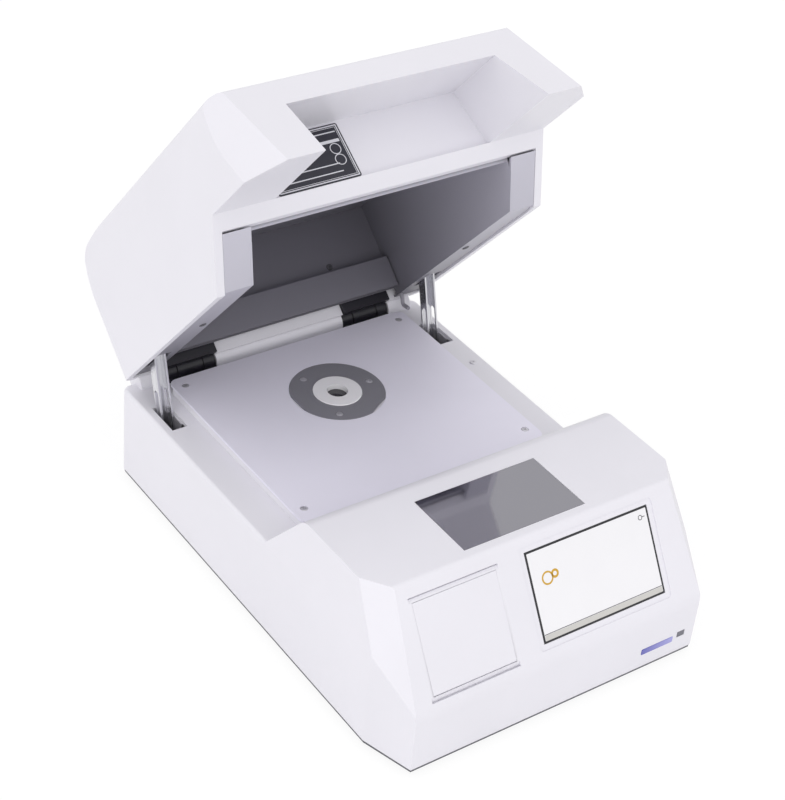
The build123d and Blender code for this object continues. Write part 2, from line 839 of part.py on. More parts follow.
roll_spot = panel_plane.from_local_coords((door_centre, -roll_down, -roll_inward))
platen_spot = panel_plane.from_local_coords((door_centre, -platen_down, -platen_inward))
bay_inner = door_width - 2 * bay_wall - 2 * door_gap
with BuildPart() as printer_bay:
    with BuildSketch(panel_plane.offset(-casing_wall)):
        with Locations((door_centre, -door_down)):
            Rectangle(door_width + 2 * bay_wall, door_height + 2 * bay_wall)
    extrude(amount=-bay_depth)
    with BuildSketch(panel_plane.offset(-casing_wall)):
        with Locations((door_centre, -door_down)):
            Rectangle(bay_inner, door_height)
    extrude(amount=bay_wall - bay_depth, mode=Mode.SUBTRACT)
    with BuildSketch(Plane.YZ.offset(door_centre)):
        with Locations((roll_spot.Y, roll_spot.Z)):
            Circle(roll_core / 2)
    extrude(amount=bay_inner / 2, both=True)
    with BuildSketch(Plane.YZ.offset(door_centre)):
        with Locations((platen_spot.Y, platen_spot.Z)):
            Circle(stay_pin_radius + running_fit)
    extrude(amount=bay_inner / 2 + bay_wall, both=True, mode=Mode.SUBTRACT)
printer_bay.part.label = "printer_bay"
export_step(printer_bay.part, "parts/printer_bay.step")

with BuildPart() as paper_roll:
    with BuildSketch(Plane.YZ.offset(door_centre)):
        with Locations((roll_spot.Y, roll_spot.Z)):
            Circle(roll_radius)
            Circle(roll_core / 2 + running_fit, mode=Mode.SUBTRACT)
    extrude(amount=roll_width / 2, both=True)
paper_roll.part.label = "paper_roll"
export_step(paper_roll.part, "parts/paper_roll.step")

with BuildPart() as platen_roller:
    with BuildSketch(Plane.YZ.offset(door_centre)):
        with Locations((platen_spot.Y, platen_spot.Z)):
            Circle(platen_radius)
    extrude(amount=platen_width / 2, both=True)
    with BuildSketch(Plane.YZ.offset(door_centre)):
        with Locations((platen_spot.Y, platen_spot.Z)):
            Circle(stay_pin_radius)
    extrude(amount=bay_inner / 2 + bay_wall, both=True)
platen_roller.part.label = "platen_roller"
export_step(platen_roller.part, "parts/platen_roller.step")

head_top = platen_inward + platen_radius + seat_gap
with BuildPart() as print_head:
    with BuildSketch(panel_plane.offset(-head_top)):
        with Locations((door_centre, head_height / 2 - door_down - door_height / 2)):
            Rectangle(bay_inner, head_height)
    extrude(amount=-head_depth)
print_head.part.label = "print_head"
export_step(print_head.part, "parts/print_head.step")

with BuildPart() as status_lens:
    with BuildSketch(Plane.XZ.offset(-front_y - trim_depth)):
        with Locations((lens_centre, base_z + lens_rise)):
            RectangleRounded(lens_width, lens_height, lens_corner)
    extrude(amount=trim_depth + seat_gap)
status_lens.part.label = "status_lens"
export_step(status_lens.part, "parts/status_lens.step")

with BuildPart() as indicator_window:
    with BuildSketch(Plane.XZ.offset(-front_y - trim_depth)):
        with Locations((indicator_centre, base_z + indicator_rise)):
            Rectangle(indicator_width, indicator_height)
    extrude(amount=trim_depth)
indicator_window.part.label = "indicator_window"
export_step(indicator_window.part, "parts/indicator_window.step")

# Lid shell, drawn closed and turned open at the end
stay_pivot_y = back_y - stay_pivot_inset
stay_pivot_z = deck_z + stay_pivot_rise
leaf_arm_width = hinge_width - 2 * knuckle_width - 4 * hinge_play
lid_inside = lid_half - lid_wall
lid_rear_inside = front_y + lid_back - lid_wall
band_z = nose_z - band_height
with BuildPart() as lid_shell:
    add(lid_form(0))
    add(lid_form(lid_wall) - recess_form(recess_wall), mode=Mode.SUBTRACT)
    add(recess_form(0), mode=Mode.SUBTRACT)
    with BuildSketch(Plane.YZ):
        band_y = front_y + lid_front_shoulder
        profile([
            (band_y - lid_wall, band_z), (band_y + 5 * lid_wall, band_z),
            (front_y + lid_front_foot + 3 * lid_wall, rim_z - lid_wall),
            (band_y - lid_wall, rim_z - lid_wall),
        ])
    extrude(amount=lid_inside - side_margin, both=True, mode=Mode.SUBTRACT)
    with BuildSketch(Plane.YZ):
        with Locations((hinge_y, hinge_z)):
            Circle(ridge_radius + sweep_gap)
    extrude(amount=ridge_half + sweep_gap, both=True, mode=Mode.SUBTRACT)
    for across in notch_places:
        with BuildSketch(Plane.XY.offset(rim_z - lid_wall)):
            with Locations((across, front_y + lid_back)):
                Rectangle(hinge_width, 4 * lid_wall)
        extrude(amount=2 * lid_wall + ridge_radius / 2, mode=Mode.SUBTRACT)
    for side in (-1, 1):
        with BuildSketch(Plane.YZ.offset(side * (stay_centre + stay_width / 2 + hinge_play))):
            with Locations((stay_pivot_y, stay_pivot_z)):
                Circle(2 * stay_pin_radius)
        extrude(amount=side * (lid_half - 1.5 * hinge_play - stay_centre - stay_width / 2 - lid_wall / 2))
    for side in (-1, 1):
        with BuildSketch(Plane.YZ.offset(side * (stay_centre + stay_width / 2))):
            with Locations((stay_pivot_y, stay_pivot_z)):
                Circle(stay_pin_radius)
        extrude(amount=side * (2 * stay_pin_radius), mode=Mode.SUBTRACT)
lid_shell.part = swung_open(lid_shell.part)
lid_shell.part.label = "lid_shell"
export_step(lid_shell.part, "parts/lid_shell.step")

# Liner of the sample chamber: folded sheet that hangs inside the lid
liner_z = rim_z + liner_lift
rear_wall_z = plate_z + rear_wall_gap
flange_edge = lid_inside - side_margin - liner_gap


def slope_at(level):
    """Depth of the lid's slanting front opening at a height."""
    return front_y + lid_front_foot - slope_lean * (level - rim_z)


with BuildPart() as lid_liner:
    with BuildSketch(Plane.YZ):
        front_wall = front_y + chamber_front - liner_sheet
        rear_wall = front_y + chamber_back + liner_sheet
        ceiling = liner_z + chamber_height + liner_sheet
        front_low = rim_z + (front_y + lid_front_foot - front_wall) / slope_lean
        profile([
            (slope_at(liner_z), liner_z), (front_wall, front_low), (front_wall, ceiling),
            (rear_wall, ceiling), (rear_wall, liner_z),
        ])
    extrude(amount=chamber_half + liner_sheet, both=True)
    with BuildSketch(Plane.YZ):
        profile([
            (slope_at(liner_z) - 2 * chamber_height, liner_z - liner_sheet),
            (slope_at(liner_z) - 2 * chamber_height, band_z - band_lap),
            (front_y + chamber_front, band_z - band_lap),
            (front_y + chamber_front, ceiling - liner_sheet),
            (front_y + chamber_back, ceiling - liner_sheet),
            (front_y + chamber_back, liner_z - liner_sheet),
        ])
    extrude(amount=chamber_half, both=True, mode=Mode.SUBTRACT)
    with BuildSketch(Plane.XY.offset(liner_z - liner_sheet)):
        with Locations((0, rear_wall)):
            Rectangle(2 * chamber_half, 4 * liner_sheet)
    extrude(amount=rear_wall_z - liner_z + liner_sheet, mode=Mode.SUBTRACT)
    for side in (-1, 1):
        flange_front = slope_at(liner_z) + liner_sheet
        flange_back = lid_rear_inside - 2 * liner_gap
        with BuildSketch(Plane.XY.offset(liner_z)):
            profile(
                [(side * chamber_half, flange_front), (side * flange_edge, flange_front),
                 (side * flange_edge, flange_back), (side * chamber_half, flange_back)],
                [((side * flange_edge, flange_back), lid_corner_radius - lid_wall)],
            )
            with Locations((side * stay_centre, stay_pivot_y + stay_pin_radius)):
                Rectangle(stay_slot_width, liner_slot_length, mode=Mode.SUBTRACT)
        extrude(amount=liner_sheet)
        with BuildSketch(Plane.YZ.offset(side * chamber_half)):
            flange_top = band_z - liner_sheet
            profile([
                (slope_at(liner_z) + liner_gap, liner_z), (slope_at(flange_top) + liner_gap, flange_top),
                (slope_at(flange_top) + 2 * liner_sheet, flange_top),
                (slope_at(liner_z) + 2 * liner_sheet, liner_z),
            ])
        extrude(amount=side * (flange_edge - chamber_half))
lid_liner.part = swung_open(lid_liner.part)
lid_liner.part.label = "lid_liner"
export_step(lid_liner.part, "parts/lid_liner.step")

rear_panel_face = front_y + chamber_back - rear_panel_depth
rear_panel_half = chamber_half - rear_panel_margin
with BuildPart() as liner_rear_panel:
    with BuildSketch(Plane.XZ.offset(-rear_panel_face)):
        with Locations((0, rear_wall_z + rear_panel_height / 2)):
            Rectangle(2 * rear_panel_half, rear_panel_height)
    extrude(amount=-liner_sheet)
    with BuildSketch(Plane.XY.offset(rear_wall_z + rear_panel_height)):
        with Locations((0, rear_panel_face + rear_panel_depth / 2)):
            Rectangle(2 * rear_panel_half, rear_panel_depth)
    extrude(amount=-liner_sheet)
liner_rear_panel.part = swung_open(liner_rear_panel.part)
liner_rear_panel.part.label = "liner_rear_panel"
export_step(liner_rear_panel.part, "parts/liner_rear_panel.step")

with BuildPart() as liner_screws:
    with BuildSketch(Plane.XZ.offset(-front_y - chamber_back)):
        with Locations((-rear_screw_across, rim_z + rear_screw_rise),
                       (rear_screw_across, rim_z + rear_screw_rise)):
            Circle(screw_radius)
    extrude(amount=screw_head)
    with BuildSketch(Plane.XY.offset(liner_z)):
        with Locations((flange_screw_side - lid_half, back_y - flange_screw_inset),
                       (lid_half - flange_screw_side, back_y - flange_screw_inset)):
            Circle(screw_radius)
    extrude(amount=-screw_head)
liner_screws.part = swung_open(liner_screws.part)
liner_screws.part.label = "liner_screws"
export_step(liner_screws.part, "parts/liner_screws.step")

label_plane = Plane(
    origin=(0, front_y + recess_back, nose_z),
    x_dir=(1, 0, 0),
    z_dir=(0, -recess_height, recess_top_back - recess_back),
)
with BuildPart() as rating_plate:
    with BuildSketch(label_plane):
        with Locations((plate_label_centre, recess_height / 2)):
            RectangleRounded(plate_label_width, plate_label_height, plate_label_corner)
    extrude(amount=plate_label_thickness)
rating_plate.part = swung_open(rating_plate.part)
rating_plate.part.label = "rating_plate"
export_step(rating_plate.part, "parts/rating_plate.step")

# Hinges: two knuckles on each base leaf, one between them on each lid leaf
leaf_half = hinge_width / 2 - hinge_play
leaf_z = deck_underside - leaf_thickness
arm_inside = lid_rear_inside - leaf_thickness
arm_low = rim_z + ridge_radius
arm_outside = front_y + lid_back - hinge_play
for side, name in ((-1, "left"), (1, "right")):
    across = side * (hinge_near + hinge_width / 2)
    with BuildPart() as hinge_base_leaf:
        with BuildSketch(Plane.XY.offset(leaf_z)):
            with Locations((across, hinge_y - (leaf_reach + knuckle_radius + leaf_setback) / 2)):
                Rectangle(2 * leaf_half, leaf_reach - knuckle_radius - leaf_setback)
        extrude(amount=leaf_thickness)
        for end in (-1, 1):
            with BuildSketch(Plane.YZ.offset(across + end * (leaf_half - knuckle_width / 2))):
                with Locations((hinge_y, hinge_z)):
                    Circle(knuckle_radius)
                profile([
                    (hinge_y - notch_front + hinge_play, leaf_z), (hinge_y, leaf_z),
                    (hinge_y, hinge_z), (hinge_y - notch_front + hinge_play, hinge_z),
                ])
                with Locations((hinge_y, hinge_z)):
                    Circle(hinge_pin_radius, mode=Mode.SUBTRACT)
            extrude(amount=knuckle_width / 2, both=True)
    hinge_base_leaf.part.label = "hinge_base_leaf_" + name
    export_step(hinge_base_leaf.part, "parts/hinge_base_leaf_" + name + ".step")

    with BuildPart() as hinge_lid_leaf:
        with BuildSketch(Plane.YZ.offset(across)):
            with Locations((hinge_y, hinge_z)):
                Circle(knuckle_radius)
            profile([
                (arm_inside, arm_low - leaf_thickness / 2), (arm_inside, arm_low + lid_leaf_height),
                (lid_rear_inside, arm_low + lid_leaf_height), (lid_rear_inside, arm_low),
                (hinge_y - knuckle_radius / 2, arm_low - leaf_thickness), (hinge_y, hinge_z),
                (hinge_y - knuckle_radius, hinge_z + leaf_thickness),
            ])
            with Locations((hinge_y, hinge_z)):
                Circle(hinge_pin_radius + running_fit, mode=Mode.SUBTRACT)
        extrude(amount=leaf_arm_width / 2, both=True)
        with BuildSketch(Plane.YZ.offset(across)):
            profile([
                (arm_inside, hinge_z + leaf_setback), (arm_inside, arm_low + lid_leaf_height),
                (lid_rear_inside, arm_low + lid_leaf_height), (lid_rear_inside, arm_low),
                (arm_outside, arm_low), (hinge_y - knuckle_radius - 2 * hinge_play, hinge_z + leaf_setback),
            ])
        extrude(amount=leaf_half, both=True)
    hinge_lid_leaf.part = swung_open(hinge_lid_leaf.part)
    hinge_lid_leaf.part.label = "hinge_lid_leaf_" + name
    export_step(hinge_lid_leaf.part, "parts/hinge_lid_leaf_" + name + ".step")

with BuildPart() as hinge_pins:
    for across in notch_places:
        with BuildSketch(Plane.YZ.offset(across)):
            with Locations((hinge_y, hinge_z)):
                Circle(hinge_pin_radius)
        extrude(amount=leaf_half, both=True)
hinge_pins.part.label = "hinge_pins"
export_step(hinge_pins.part, "parts/hinge_pins.step")

# Stays: slotted channels that hang from the lid and slide on pins in the base
pivot_closed = Vector(0, stay_pivot_y - hinge_y, stay_pivot_z - hinge_z)
pivot_open = pivot_closed.rotate(Axis.X, -lid_opening) + Vector(0, hinge_y, hinge_z)
guide_y = back_y - guide_pin_inset
guide_z = deck_z - guide_pin_drop
guide_inside = stay_width / 2 + hinge_play
guide_middle = back_y - guide_rear_inset - guide_length / 2
slot_high = (guide_z - stay_pivot_z) + stay_pin_radius + stay_play * 2
for side, name in ((-1, "left"), (1, "right")):
    stay_plane = Plane(
        origin=(side * stay_centre, pivot_open.Y, pivot_open.Z),
        x_dir=(1, 0, 0),
        z_dir=(0, sin(radians(stay_tilt)), cos(radians(stay_tilt))),
    )
    across_plane = Plane(origin=stay_plane.origin, x_dir=stay_plane.y_dir, z_dir=stay_plane.x_dir)
    with BuildPart() as lid_stay:
        with BuildSketch(stay_plane.offset(stay_top)):
            Rectangle(stay_width, stay_depth)
            with Locations((0, -stay_sheet)):
                Rectangle(stay_width - 2 * stay_sheet, stay_depth, mode=Mode.SUBTRACT)
        extrude(amount=-stay_top - stay_reach)
        with BuildSketch(across_plane):
            Circle(stay_pin_radius + running_fit)
            slot_low = -stay_reach + 2 * stay_pin_radius
            with Locations((0, (slot_low + slot_high) / 2)):
                SlotOverall(slot_high - slot_low, 2 * (stay_pin_radius + stay_play), rotation=90)
        extrude(amount=stay_width, both=True, mode=Mode.SUBTRACT)
    lid_stay.part.label = "lid_stay_" + name
    export_step(lid_stay.part, "parts/lid_stay_" + name + ".step")

    with BuildPart() as stay_guide:
        with BuildSketch(Plane.XY.offset(deck_underside)):
            with Locations((side * stay_centre, guide_middle)):
                Rectangle(2 * guide_inside + 2 * guide_sheet, guide_length)
            with Locations((side * stay_centre, guide_middle - guide_sheet)):
                Rectangle(2 * guide_inside, guide_length, mode=Mode.SUBTRACT)
        extrude(amount=-guide_depth)
        with BuildSketch(Plane.YZ.offset(side * stay_centre)):
            with Locations((guide_y, guide_z)):
                Circle(stay_pin_radius)
        extrude(amount=stay_width, both=True, mode=Mode.SUBTRACT)
    stay_guide.part.label = "stay_guide_" + name
    export_step(stay_guide.part, "parts/stay_guide_" + name + ".step")

with BuildPart() as stay_guide_pins:
    for side in (-1, 1):
        with BuildSketch(Plane.YZ.offset(side * stay_centre)):
            with Locations((guide_y, guide_z)):
                Circle(stay_pin_radius)
        extrude(amount=guide_inside + guide_sheet, both=True)
stay_guide_pins.part.label = "stay_guide_pins"
export_step(stay_guide_pins.part, "parts/stay_guide_pins.step")

with BuildPart() as stay_pivot_pins:
    for side in (-1, 1):
        with BuildSketch(Plane.YZ.offset(side * (stay_centre - stay_width / 2 - hinge_play))):
            with Locations((pivot_open.Y, pivot_open.Z)):
                Circle(stay_pin_radius)
        extrude(amount=side * (stay_width + hinge_play + 2 * stay_pin_radius))
stay_pivot_pins.part.label = "stay_pivot_pins"
export_step(stay_pivot_pins.part, "parts/stay_pivot_pins.step")

# Interlock: a bent rod under the lid that dips through the deck onto a switch
with BuildPart() as interlock_rod:
    with BuildLine(Plane.YZ.offset(rod_across)) as rod_line:
        FilletPolyline(
            (back_y - rod_root_inset, liner_z),
            (back_y - rod_root_inset, liner_z - 2 * rod_radius),
            (back_y - rod_knee_inset, deck_z - rod_knee_drop),
            (back_y - rod_tip_inset, deck_z - rod_tip_drop),
            radius=rod_radius * 1.5,
        )
    with BuildSketch(Plane(rod_line.line @ 0, x_dir=(1, 0, 0), z_dir=rod_line.line % 0)):
        Circle(rod_radius)
    sweep()
interlock_rod.part = swung_open(interlock_rod.part)
interlock_rod.part.label = "interlock_rod"
export_step(interlock_rod.part, "parts/interlock_rod.step")

switch_top = deck_z - rod_tip_drop - rod_radius - switch_gap
switch_across = stay_centre - guide_inside - guide_sheet - switch_width / 2
with BuildPart() as interlock_switch:
    with BuildSketch(Plane.XY.offset(switch_top - switch_height)):
        with Locations((switch_across, back_y - rod_tip_inset - switch_width)):
            Rectangle(switch_width, switch_length)
    extrude(amount=switch_height)
interlock_switch.part.label = "interlock_switch"
export_step(interlock_switch.part, "parts/interlock_switch.step")

# Measuring head under the window: block, tube, shield can and detector
head_top_z = film_z - film_thickness
head_low_z = head_top_z - head_block_height
detector_z = head_low_z + detector_radius + stand_wall
with BuildPart() as head_block:
    with BuildSketch(Plane.XY.offset(head_low_z)):
        with Locations((0, disc_y)):
            Circle(head_block_radius)
            Circle(aperture_radius, mode=Mode.SUBTRACT)
    extrude(amount=head_block_height)
    with BuildSketch(Plane.YZ.offset(head_block_radius / 2)):
        with Locations((disc_y, detector_z)):
            Circle(detector_radius)
    extrude(amount=head_block_radius, mode=Mode.SUBTRACT)
head_block.part.label = "head_block"
export_step(head_block.part, "parts/head_block.step")

with BuildPart() as xray_tube:
    with BuildSketch(Plane.XY.offset(head_low_z)):
        with Locations((0, disc_y)):
            Circle(tube_flange - seat_gap)
    extrude(amount=-tube_flange_height)
    with BuildSketch(Plane.XY.offset(head_low_z)):
        with Locations((0, disc_y)):
            Circle(tube_radius)
    extrude(amount=casing_z + 2 * tube_flange_height - head_low_z)
    fillet(xray_tube.faces().sort_by(Axis.Z)[0].edges(), radius=tube_round)
xray_tube.part.label = "xray_tube"
export_step(xray_tube.part, "parts/xray_tube.step")

with BuildPart() as tube_shield:
    with BuildSketch(Plane.XY.offset(casing_z)):
        with Locations((0, disc_y)):
            Circle(tube_flange + stand_wall)
            Circle(tube_flange, mode=Mode.SUBTRACT)
    extrude(amount=head_low_z - casing_z)
tube_shield.part.label = "tube_shield"
export_step(tube_shield.part, "parts/tube_shield.step")

with BuildPart() as detector:
    with BuildSketch(Plane.YZ.offset(head_block_radius / 2)):
        with Locations((disc_y, detector_z)):
            Circle(detector_radius)
    extrude(amount=detector_length)
    chamfer(detector.faces().sort_by(Axis.X)[-1].edges(), length=detector_chamfer)
detector.part.label = "detector"
export_step(detector.part, "parts/detector.step")

# Supplies and the main board on the bottom pan
with BuildPart() as high_voltage_supply:
    with BuildSketch(Plane.XY.offset(casing_z)):
        with Locations((supply_across, back_y - box_inset)):
            RectangleRounded(supply_width, supply_depth, box_corner)
    extrude(amount=supply_height)
high_voltage_supply.part.label = "high_voltage_supply"
export_step(high_voltage_supply.part, "parts/high_voltage_supply.step")

with BuildPart() as power_converter:
    with BuildSketch(Plane.XY.offset(casing_z)):
        with Locations((converter_across, back_y - box_inset)):
            RectangleRounded(converter_width, converter_depth, box_corner)
    extrude(amount=converter_height)
power_converter.part.label = "power_converter"
export_step(power_converter.part, "parts/power_converter.step")

board_z = casing_z + standoff_height
standoff_places = [(x * (board_width / 2 - 2 * standoff_radius),
                    front_y + board_back + y * (board_depth / 2 - 2 * standoff_radius))
                   for x in (-1, 1) for y in (-1, 1)]
with BuildPart() as board_standoffs:
    with BuildSketch(Plane.XY.offset(casing_z)):
        with Locations(*standoff_places):
            Circle(standoff_radius)
    extrude(amount=standoff_height)
board_standoffs.part.label = "board_standoffs"
export_step(board_standoffs.part, "parts/board_standoffs.step")

with BuildPart() as main_board:
    with BuildSketch(Plane.XY.offset(board_z)):
        with Locations((0, front_y + board_back)):
            Rectangle(board_width, board_depth)
    extrude(amount=board_thickness)
    with BuildSketch(Plane.XY.offset(board_z + board_thickness)):
        with Locations((0, front_y + board_back)):
            with GridLocations(2 * chip_size, 1.5 * chip_size, 3, 2):
                Rectangle(chip_size, chip_size)
    extrude(amount=chip_height)
main_board.part.label = "main_board"
export_step(main_board.part, "parts/main_board.step")

# Rear wall: fan, power inlet, rocker switch and port panel
fan_plane = Plane(origin=(fan_across, back_y - casing_wall, base_z + fan_height), x_dir=(-1, 0, 0),
                  z_dir=(0, 1, 0))
with BuildPart() as fan_frame:
    with BuildSketch(fan_plane):
        RectangleRounded(fan_size, fan_size, fan_corner)
        Circle(fan_bore, mode=Mode.SUBTRACT)
    extrude(amount=-fan_depth)
    with BuildSketch(fan_plane.offset(-fan_depth)):
        Circle(fan_hub)
        Rectangle(2 * fan_bore + 2, vent_slot)
        Rectangle(vent_slot, 2 * fan_bore + 2)
        Circle(stay_pin_radius + running_fit, mode=Mode.SUBTRACT)
    extrude(amount=stand_wall)
fan_frame.part.label = "fan_frame"
export_step(fan_frame.part, "parts/fan_frame.step")

with BuildPart() as fan_rotor:
    with BuildSketch(fan_plane.offset(-fan_depth + stand_wall + hinge_play)):
        Circle(fan_hub)
        with PolarLocations((fan_hub + fan_bore) / 2 - hinge_play, fan_blades):
            Rectangle(fan_bore - fan_hub - hinge_play, vent_slot)
    extrude(amount=fan_depth - stand_wall - 3 * hinge_play)
    with BuildSketch(fan_plane.offset(-fan_depth)):
        Circle(stay_pin_radius)
    extrude(amount=2 * stand_wall)
fan_rotor.part.label = "fan_rotor"
export_step(fan_rotor.part, "parts/fan_rotor.step")

inlet_plane = Plane(origin=(inlet_across, back_y, base_z + inlet_level), x_dir=(-1, 0, 0), z_dir=(0, 1, 0))
with BuildPart() as power_inlet:
    with BuildSketch(inlet_plane):
        RectangleRounded(inlet_width + 4 * inlet_flange, inlet_height + 2 * inlet_flange,
                         socket_corner)
    extrude(amount=inlet_flange)
    with BuildSketch(inlet_plane):
        Rectangle(inlet_width, inlet_height)
    extrude(amount=-inlet_depth)
    with BuildSketch(inlet_plane.offset(inlet_flange)):
        RectangleRounded(inlet_width - 2 * socket_side, inlet_height - 2 * socket_lip, socket_corner)
    extrude(amount=-inlet_depth + inlet_flange, mode=Mode.SUBTRACT)
    with BuildSketch(inlet_plane.offset(inlet_flange - inlet_depth)):
        with Locations((-prong_across, -prong_rise), (0, prong_rise), (prong_across, -prong_rise)):
            Rectangle(prong_thickness, prong_width)
    extrude(amount=inlet_depth - 2 * inlet_flange)
power_inlet.part.label = "power_inlet"
export_step(power_inlet.part, "parts/power_inlet.step")

rocker_plane = Plane(origin=(rocker_across, back_y, base_z + inlet_level), x_dir=(-1, 0, 0), z_dir=(0, 1, 0))
with BuildPart() as switch_frame:
    with BuildSketch(rocker_plane):
        RectangleRounded(rocker_width + 4 * cover_flange, rocker_height + 4 * cover_flange, cover_corner)
        Rectangle(rocker_width + 2 * hinge_play, rocker_height + 2 * hinge_play, mode=Mode.SUBTRACT)
    extrude(amount=cover_flange)
    with BuildSketch(rocker_plane):
        Rectangle(rocker_width + 2 * cover_flange, rocker_height + 2 * cover_flange)
        Rectangle(rocker_width + 2 * hinge_play, rocker_height + 2 * hinge_play, mode=Mode.SUBTRACT)
    extrude(amount=-switch_body_depth)
    with BuildSketch(rocker_plane.offset(-switch_body_depth)):
        Rectangle(rocker_width + 2 * cover_flange, rocker_height + 2 * cover_flange)
    extrude(amount=stand_wall)
    with BuildSketch(Plane.YZ.offset(rocker_across)):
        with Locations((back_y - 2 * stand_wall, base_z + inlet_level)):
            Circle(door_pin_radius)
    extrude(amount=rocker_width / 2 + cover_flange, both=True)
switch_frame.part.label = "switch_frame"
export_step(switch_frame.part, "parts/switch_frame.step")

with BuildPart() as power_rocker:
    rocker_y = back_y - 2 * stand_wall
    rocker_z = base_z + inlet_level
    rocker_lift = rocker_height / 2 * sin(radians(rocker_swing))
    with BuildSketch(Plane.YZ.offset(rocker_across)):
        profile([
            (back_y + rocker_lift + cover_flange / 2, rocker_z - rocker_height / 2 + rocker_margin),
            (back_y + cover_flange, rocker_z),
            (back_y + rocker_lift + cover_flange / 2, rocker_z + rocker_height / 2 - rocker_margin),
            (rocker_y, rocker_z + rocker_height / 2 - rocker_margin),
            (rocker_y - stand_wall * 1.5, rocker_z),
            (rocker_y, rocker_z - rocker_height / 2 + rocker_margin),
        ])
        with Locations((rocker_y, rocker_z)):
            Circle(door_pin_radius + running_fit, mode=Mode.SUBTRACT)
    extrude(amount=rocker_width / 2, both=True)
rocker_axis = Axis((rocker_across, rocker_y, rocker_z), (1, 0, 0))
power_rocker.part = power_rocker.part.rotate(rocker_axis, -rocker_swing)
power_rocker.part.label = "power_rocker"
export_step(power_rocker.part, "parts/power_rocker.step")

port_plane = Plane(origin=(port_across, back_y, base_z + inlet_level), x_dir=(-1, 0, 0), z_dir=(0, 1, 0))
with BuildPart() as port_panel:
    with BuildSketch(port_plane):
        RectangleRounded(port_width + 4 * cover_flange, port_height + 4 * cover_flange, cover_corner)
    extrude(amount=cover_flange)
    with BuildSketch(port_plane):
        Rectangle(port_width, port_height)
    extrude(amount=-port_depth)
    with BuildSketch(port_plane.offset(cover_flange)):
        with Locations((-usb_across, usb_spread), (-usb_across, -usb_spread)):
            Rectangle(usb_width, usb_height)
        with Locations((network_across, 0)):
            Rectangle(network_width, network_height)
    extrude(amount=-port_depth / 2 - cover_flange, mode=Mode.SUBTRACT)
port_panel.part.label = "port_panel"
export_step(port_panel.part, "parts/port_panel.step")
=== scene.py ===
import bmesh
import bpy
import json
import math
from mathutils import Matrix, Vector


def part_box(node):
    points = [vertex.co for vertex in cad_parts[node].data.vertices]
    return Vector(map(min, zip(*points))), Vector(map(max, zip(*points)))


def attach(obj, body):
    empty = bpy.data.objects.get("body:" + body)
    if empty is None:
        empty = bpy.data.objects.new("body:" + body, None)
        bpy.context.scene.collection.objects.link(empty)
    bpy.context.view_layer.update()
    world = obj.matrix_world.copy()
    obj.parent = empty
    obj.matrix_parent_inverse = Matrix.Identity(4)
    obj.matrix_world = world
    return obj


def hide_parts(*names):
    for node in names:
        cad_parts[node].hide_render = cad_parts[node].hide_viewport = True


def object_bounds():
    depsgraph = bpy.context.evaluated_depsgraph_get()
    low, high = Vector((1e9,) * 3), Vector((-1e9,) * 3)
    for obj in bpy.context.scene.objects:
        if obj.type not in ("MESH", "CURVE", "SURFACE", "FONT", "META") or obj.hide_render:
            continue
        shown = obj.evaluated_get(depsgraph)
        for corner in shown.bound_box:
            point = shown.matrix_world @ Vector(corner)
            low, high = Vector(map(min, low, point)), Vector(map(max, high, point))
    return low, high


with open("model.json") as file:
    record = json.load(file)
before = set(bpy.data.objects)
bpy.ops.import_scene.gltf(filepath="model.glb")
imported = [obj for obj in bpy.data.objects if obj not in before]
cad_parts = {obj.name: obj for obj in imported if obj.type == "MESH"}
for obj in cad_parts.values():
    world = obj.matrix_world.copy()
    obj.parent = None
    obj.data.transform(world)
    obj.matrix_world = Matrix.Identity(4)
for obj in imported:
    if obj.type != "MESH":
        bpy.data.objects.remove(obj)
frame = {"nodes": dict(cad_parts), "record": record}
cad_low, cad_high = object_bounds()
nodes = frame["nodes"]
record = frame["record"]

MM = 0.001
RIGHT = Vector((1.0, 0.0, 0.0))
FORWARD = Vector((0.0, -1.0, 0.0))
UP = Vector((0.0, 0.0, 1.0))

# Camera fitted to the photograph: metres, degrees of roll, and millimetres for lens and sensor
CAMERA_PLACE = Vector((-0.72706, -0.93865, 0.97444))
CAMERA_SIGHT = Vector((0.50049, 0.64142, -0.58146))
CAMERA_ROLL = 5.9135
CAMERA_LENS = 89.09
CAMERA_REACH = 50.0
SENSOR_WIDTH = 36.0

# Slants of the front panel and of the hand recess's back, and the swing of the open lid
PANEL_RISE = 77.0
PANEL_RUN = 48.0
RECESS_RISE = 46.8
RECESS_RUN = 7.0
LID_OPENING = math.radians(49.3)
lid_turn = Matrix.Rotation(-LID_OPENING, 3, "X")

# World, lamp and floor
SKY_BRIGHT = 1.25
SKY_DIM = 0.36
SKY_SIDE = Vector((-0.6, -0.5, 0.6))
SKY_TINT = (0.99, 0.985, 1.0)
KEY_WATTS = 2.0
KEY_SIZE = 1.4
KEY_PLACE = Vector((-1.2, -1.5, 1.0))
KEY_TINT = (1.0, 0.99, 0.98)
FLOOR_TONE = (0.9, 0.9, 0.905)
FLOOR_ROUGHNESS = 0.9
FLOOR_REACH = 6.0
FLOOR_DROP = 0.2 * MM
FLOOR_GLOW = 0.88
FLOOR_SHADE = (0.14, 0.14, 0.14)

# Clouding, gloss and grain of moulded plastic
CLOUD_SCALE = 9.0
CLOUD_SPREAD = 0.015
GLOSS_SCALE = 60.0
GLOSS_SWING = (-0.04, 0.05)
GRAIN_SCALE = 1400.0
GRAIN_DEPTH = 0.02 * MM
GRAIN_STRENGTH = 0.25

# Lines of brushed and turned metal
BRUSH_SCALE = 900.0
BRUSH_CLOUD_SCALE = 14.0
BRUSH_SPREAD = 0.06
BRUSH_STRENGTH = 0.2
BRUSH_SWING = (-0.07, 0.09)
TURNED_SCALE = 3200.0
TURNED_SPREAD = 0.1
TURNED_SWING = (-0.08, 0.1)
LINE_DEPTH = 0.01 * MM

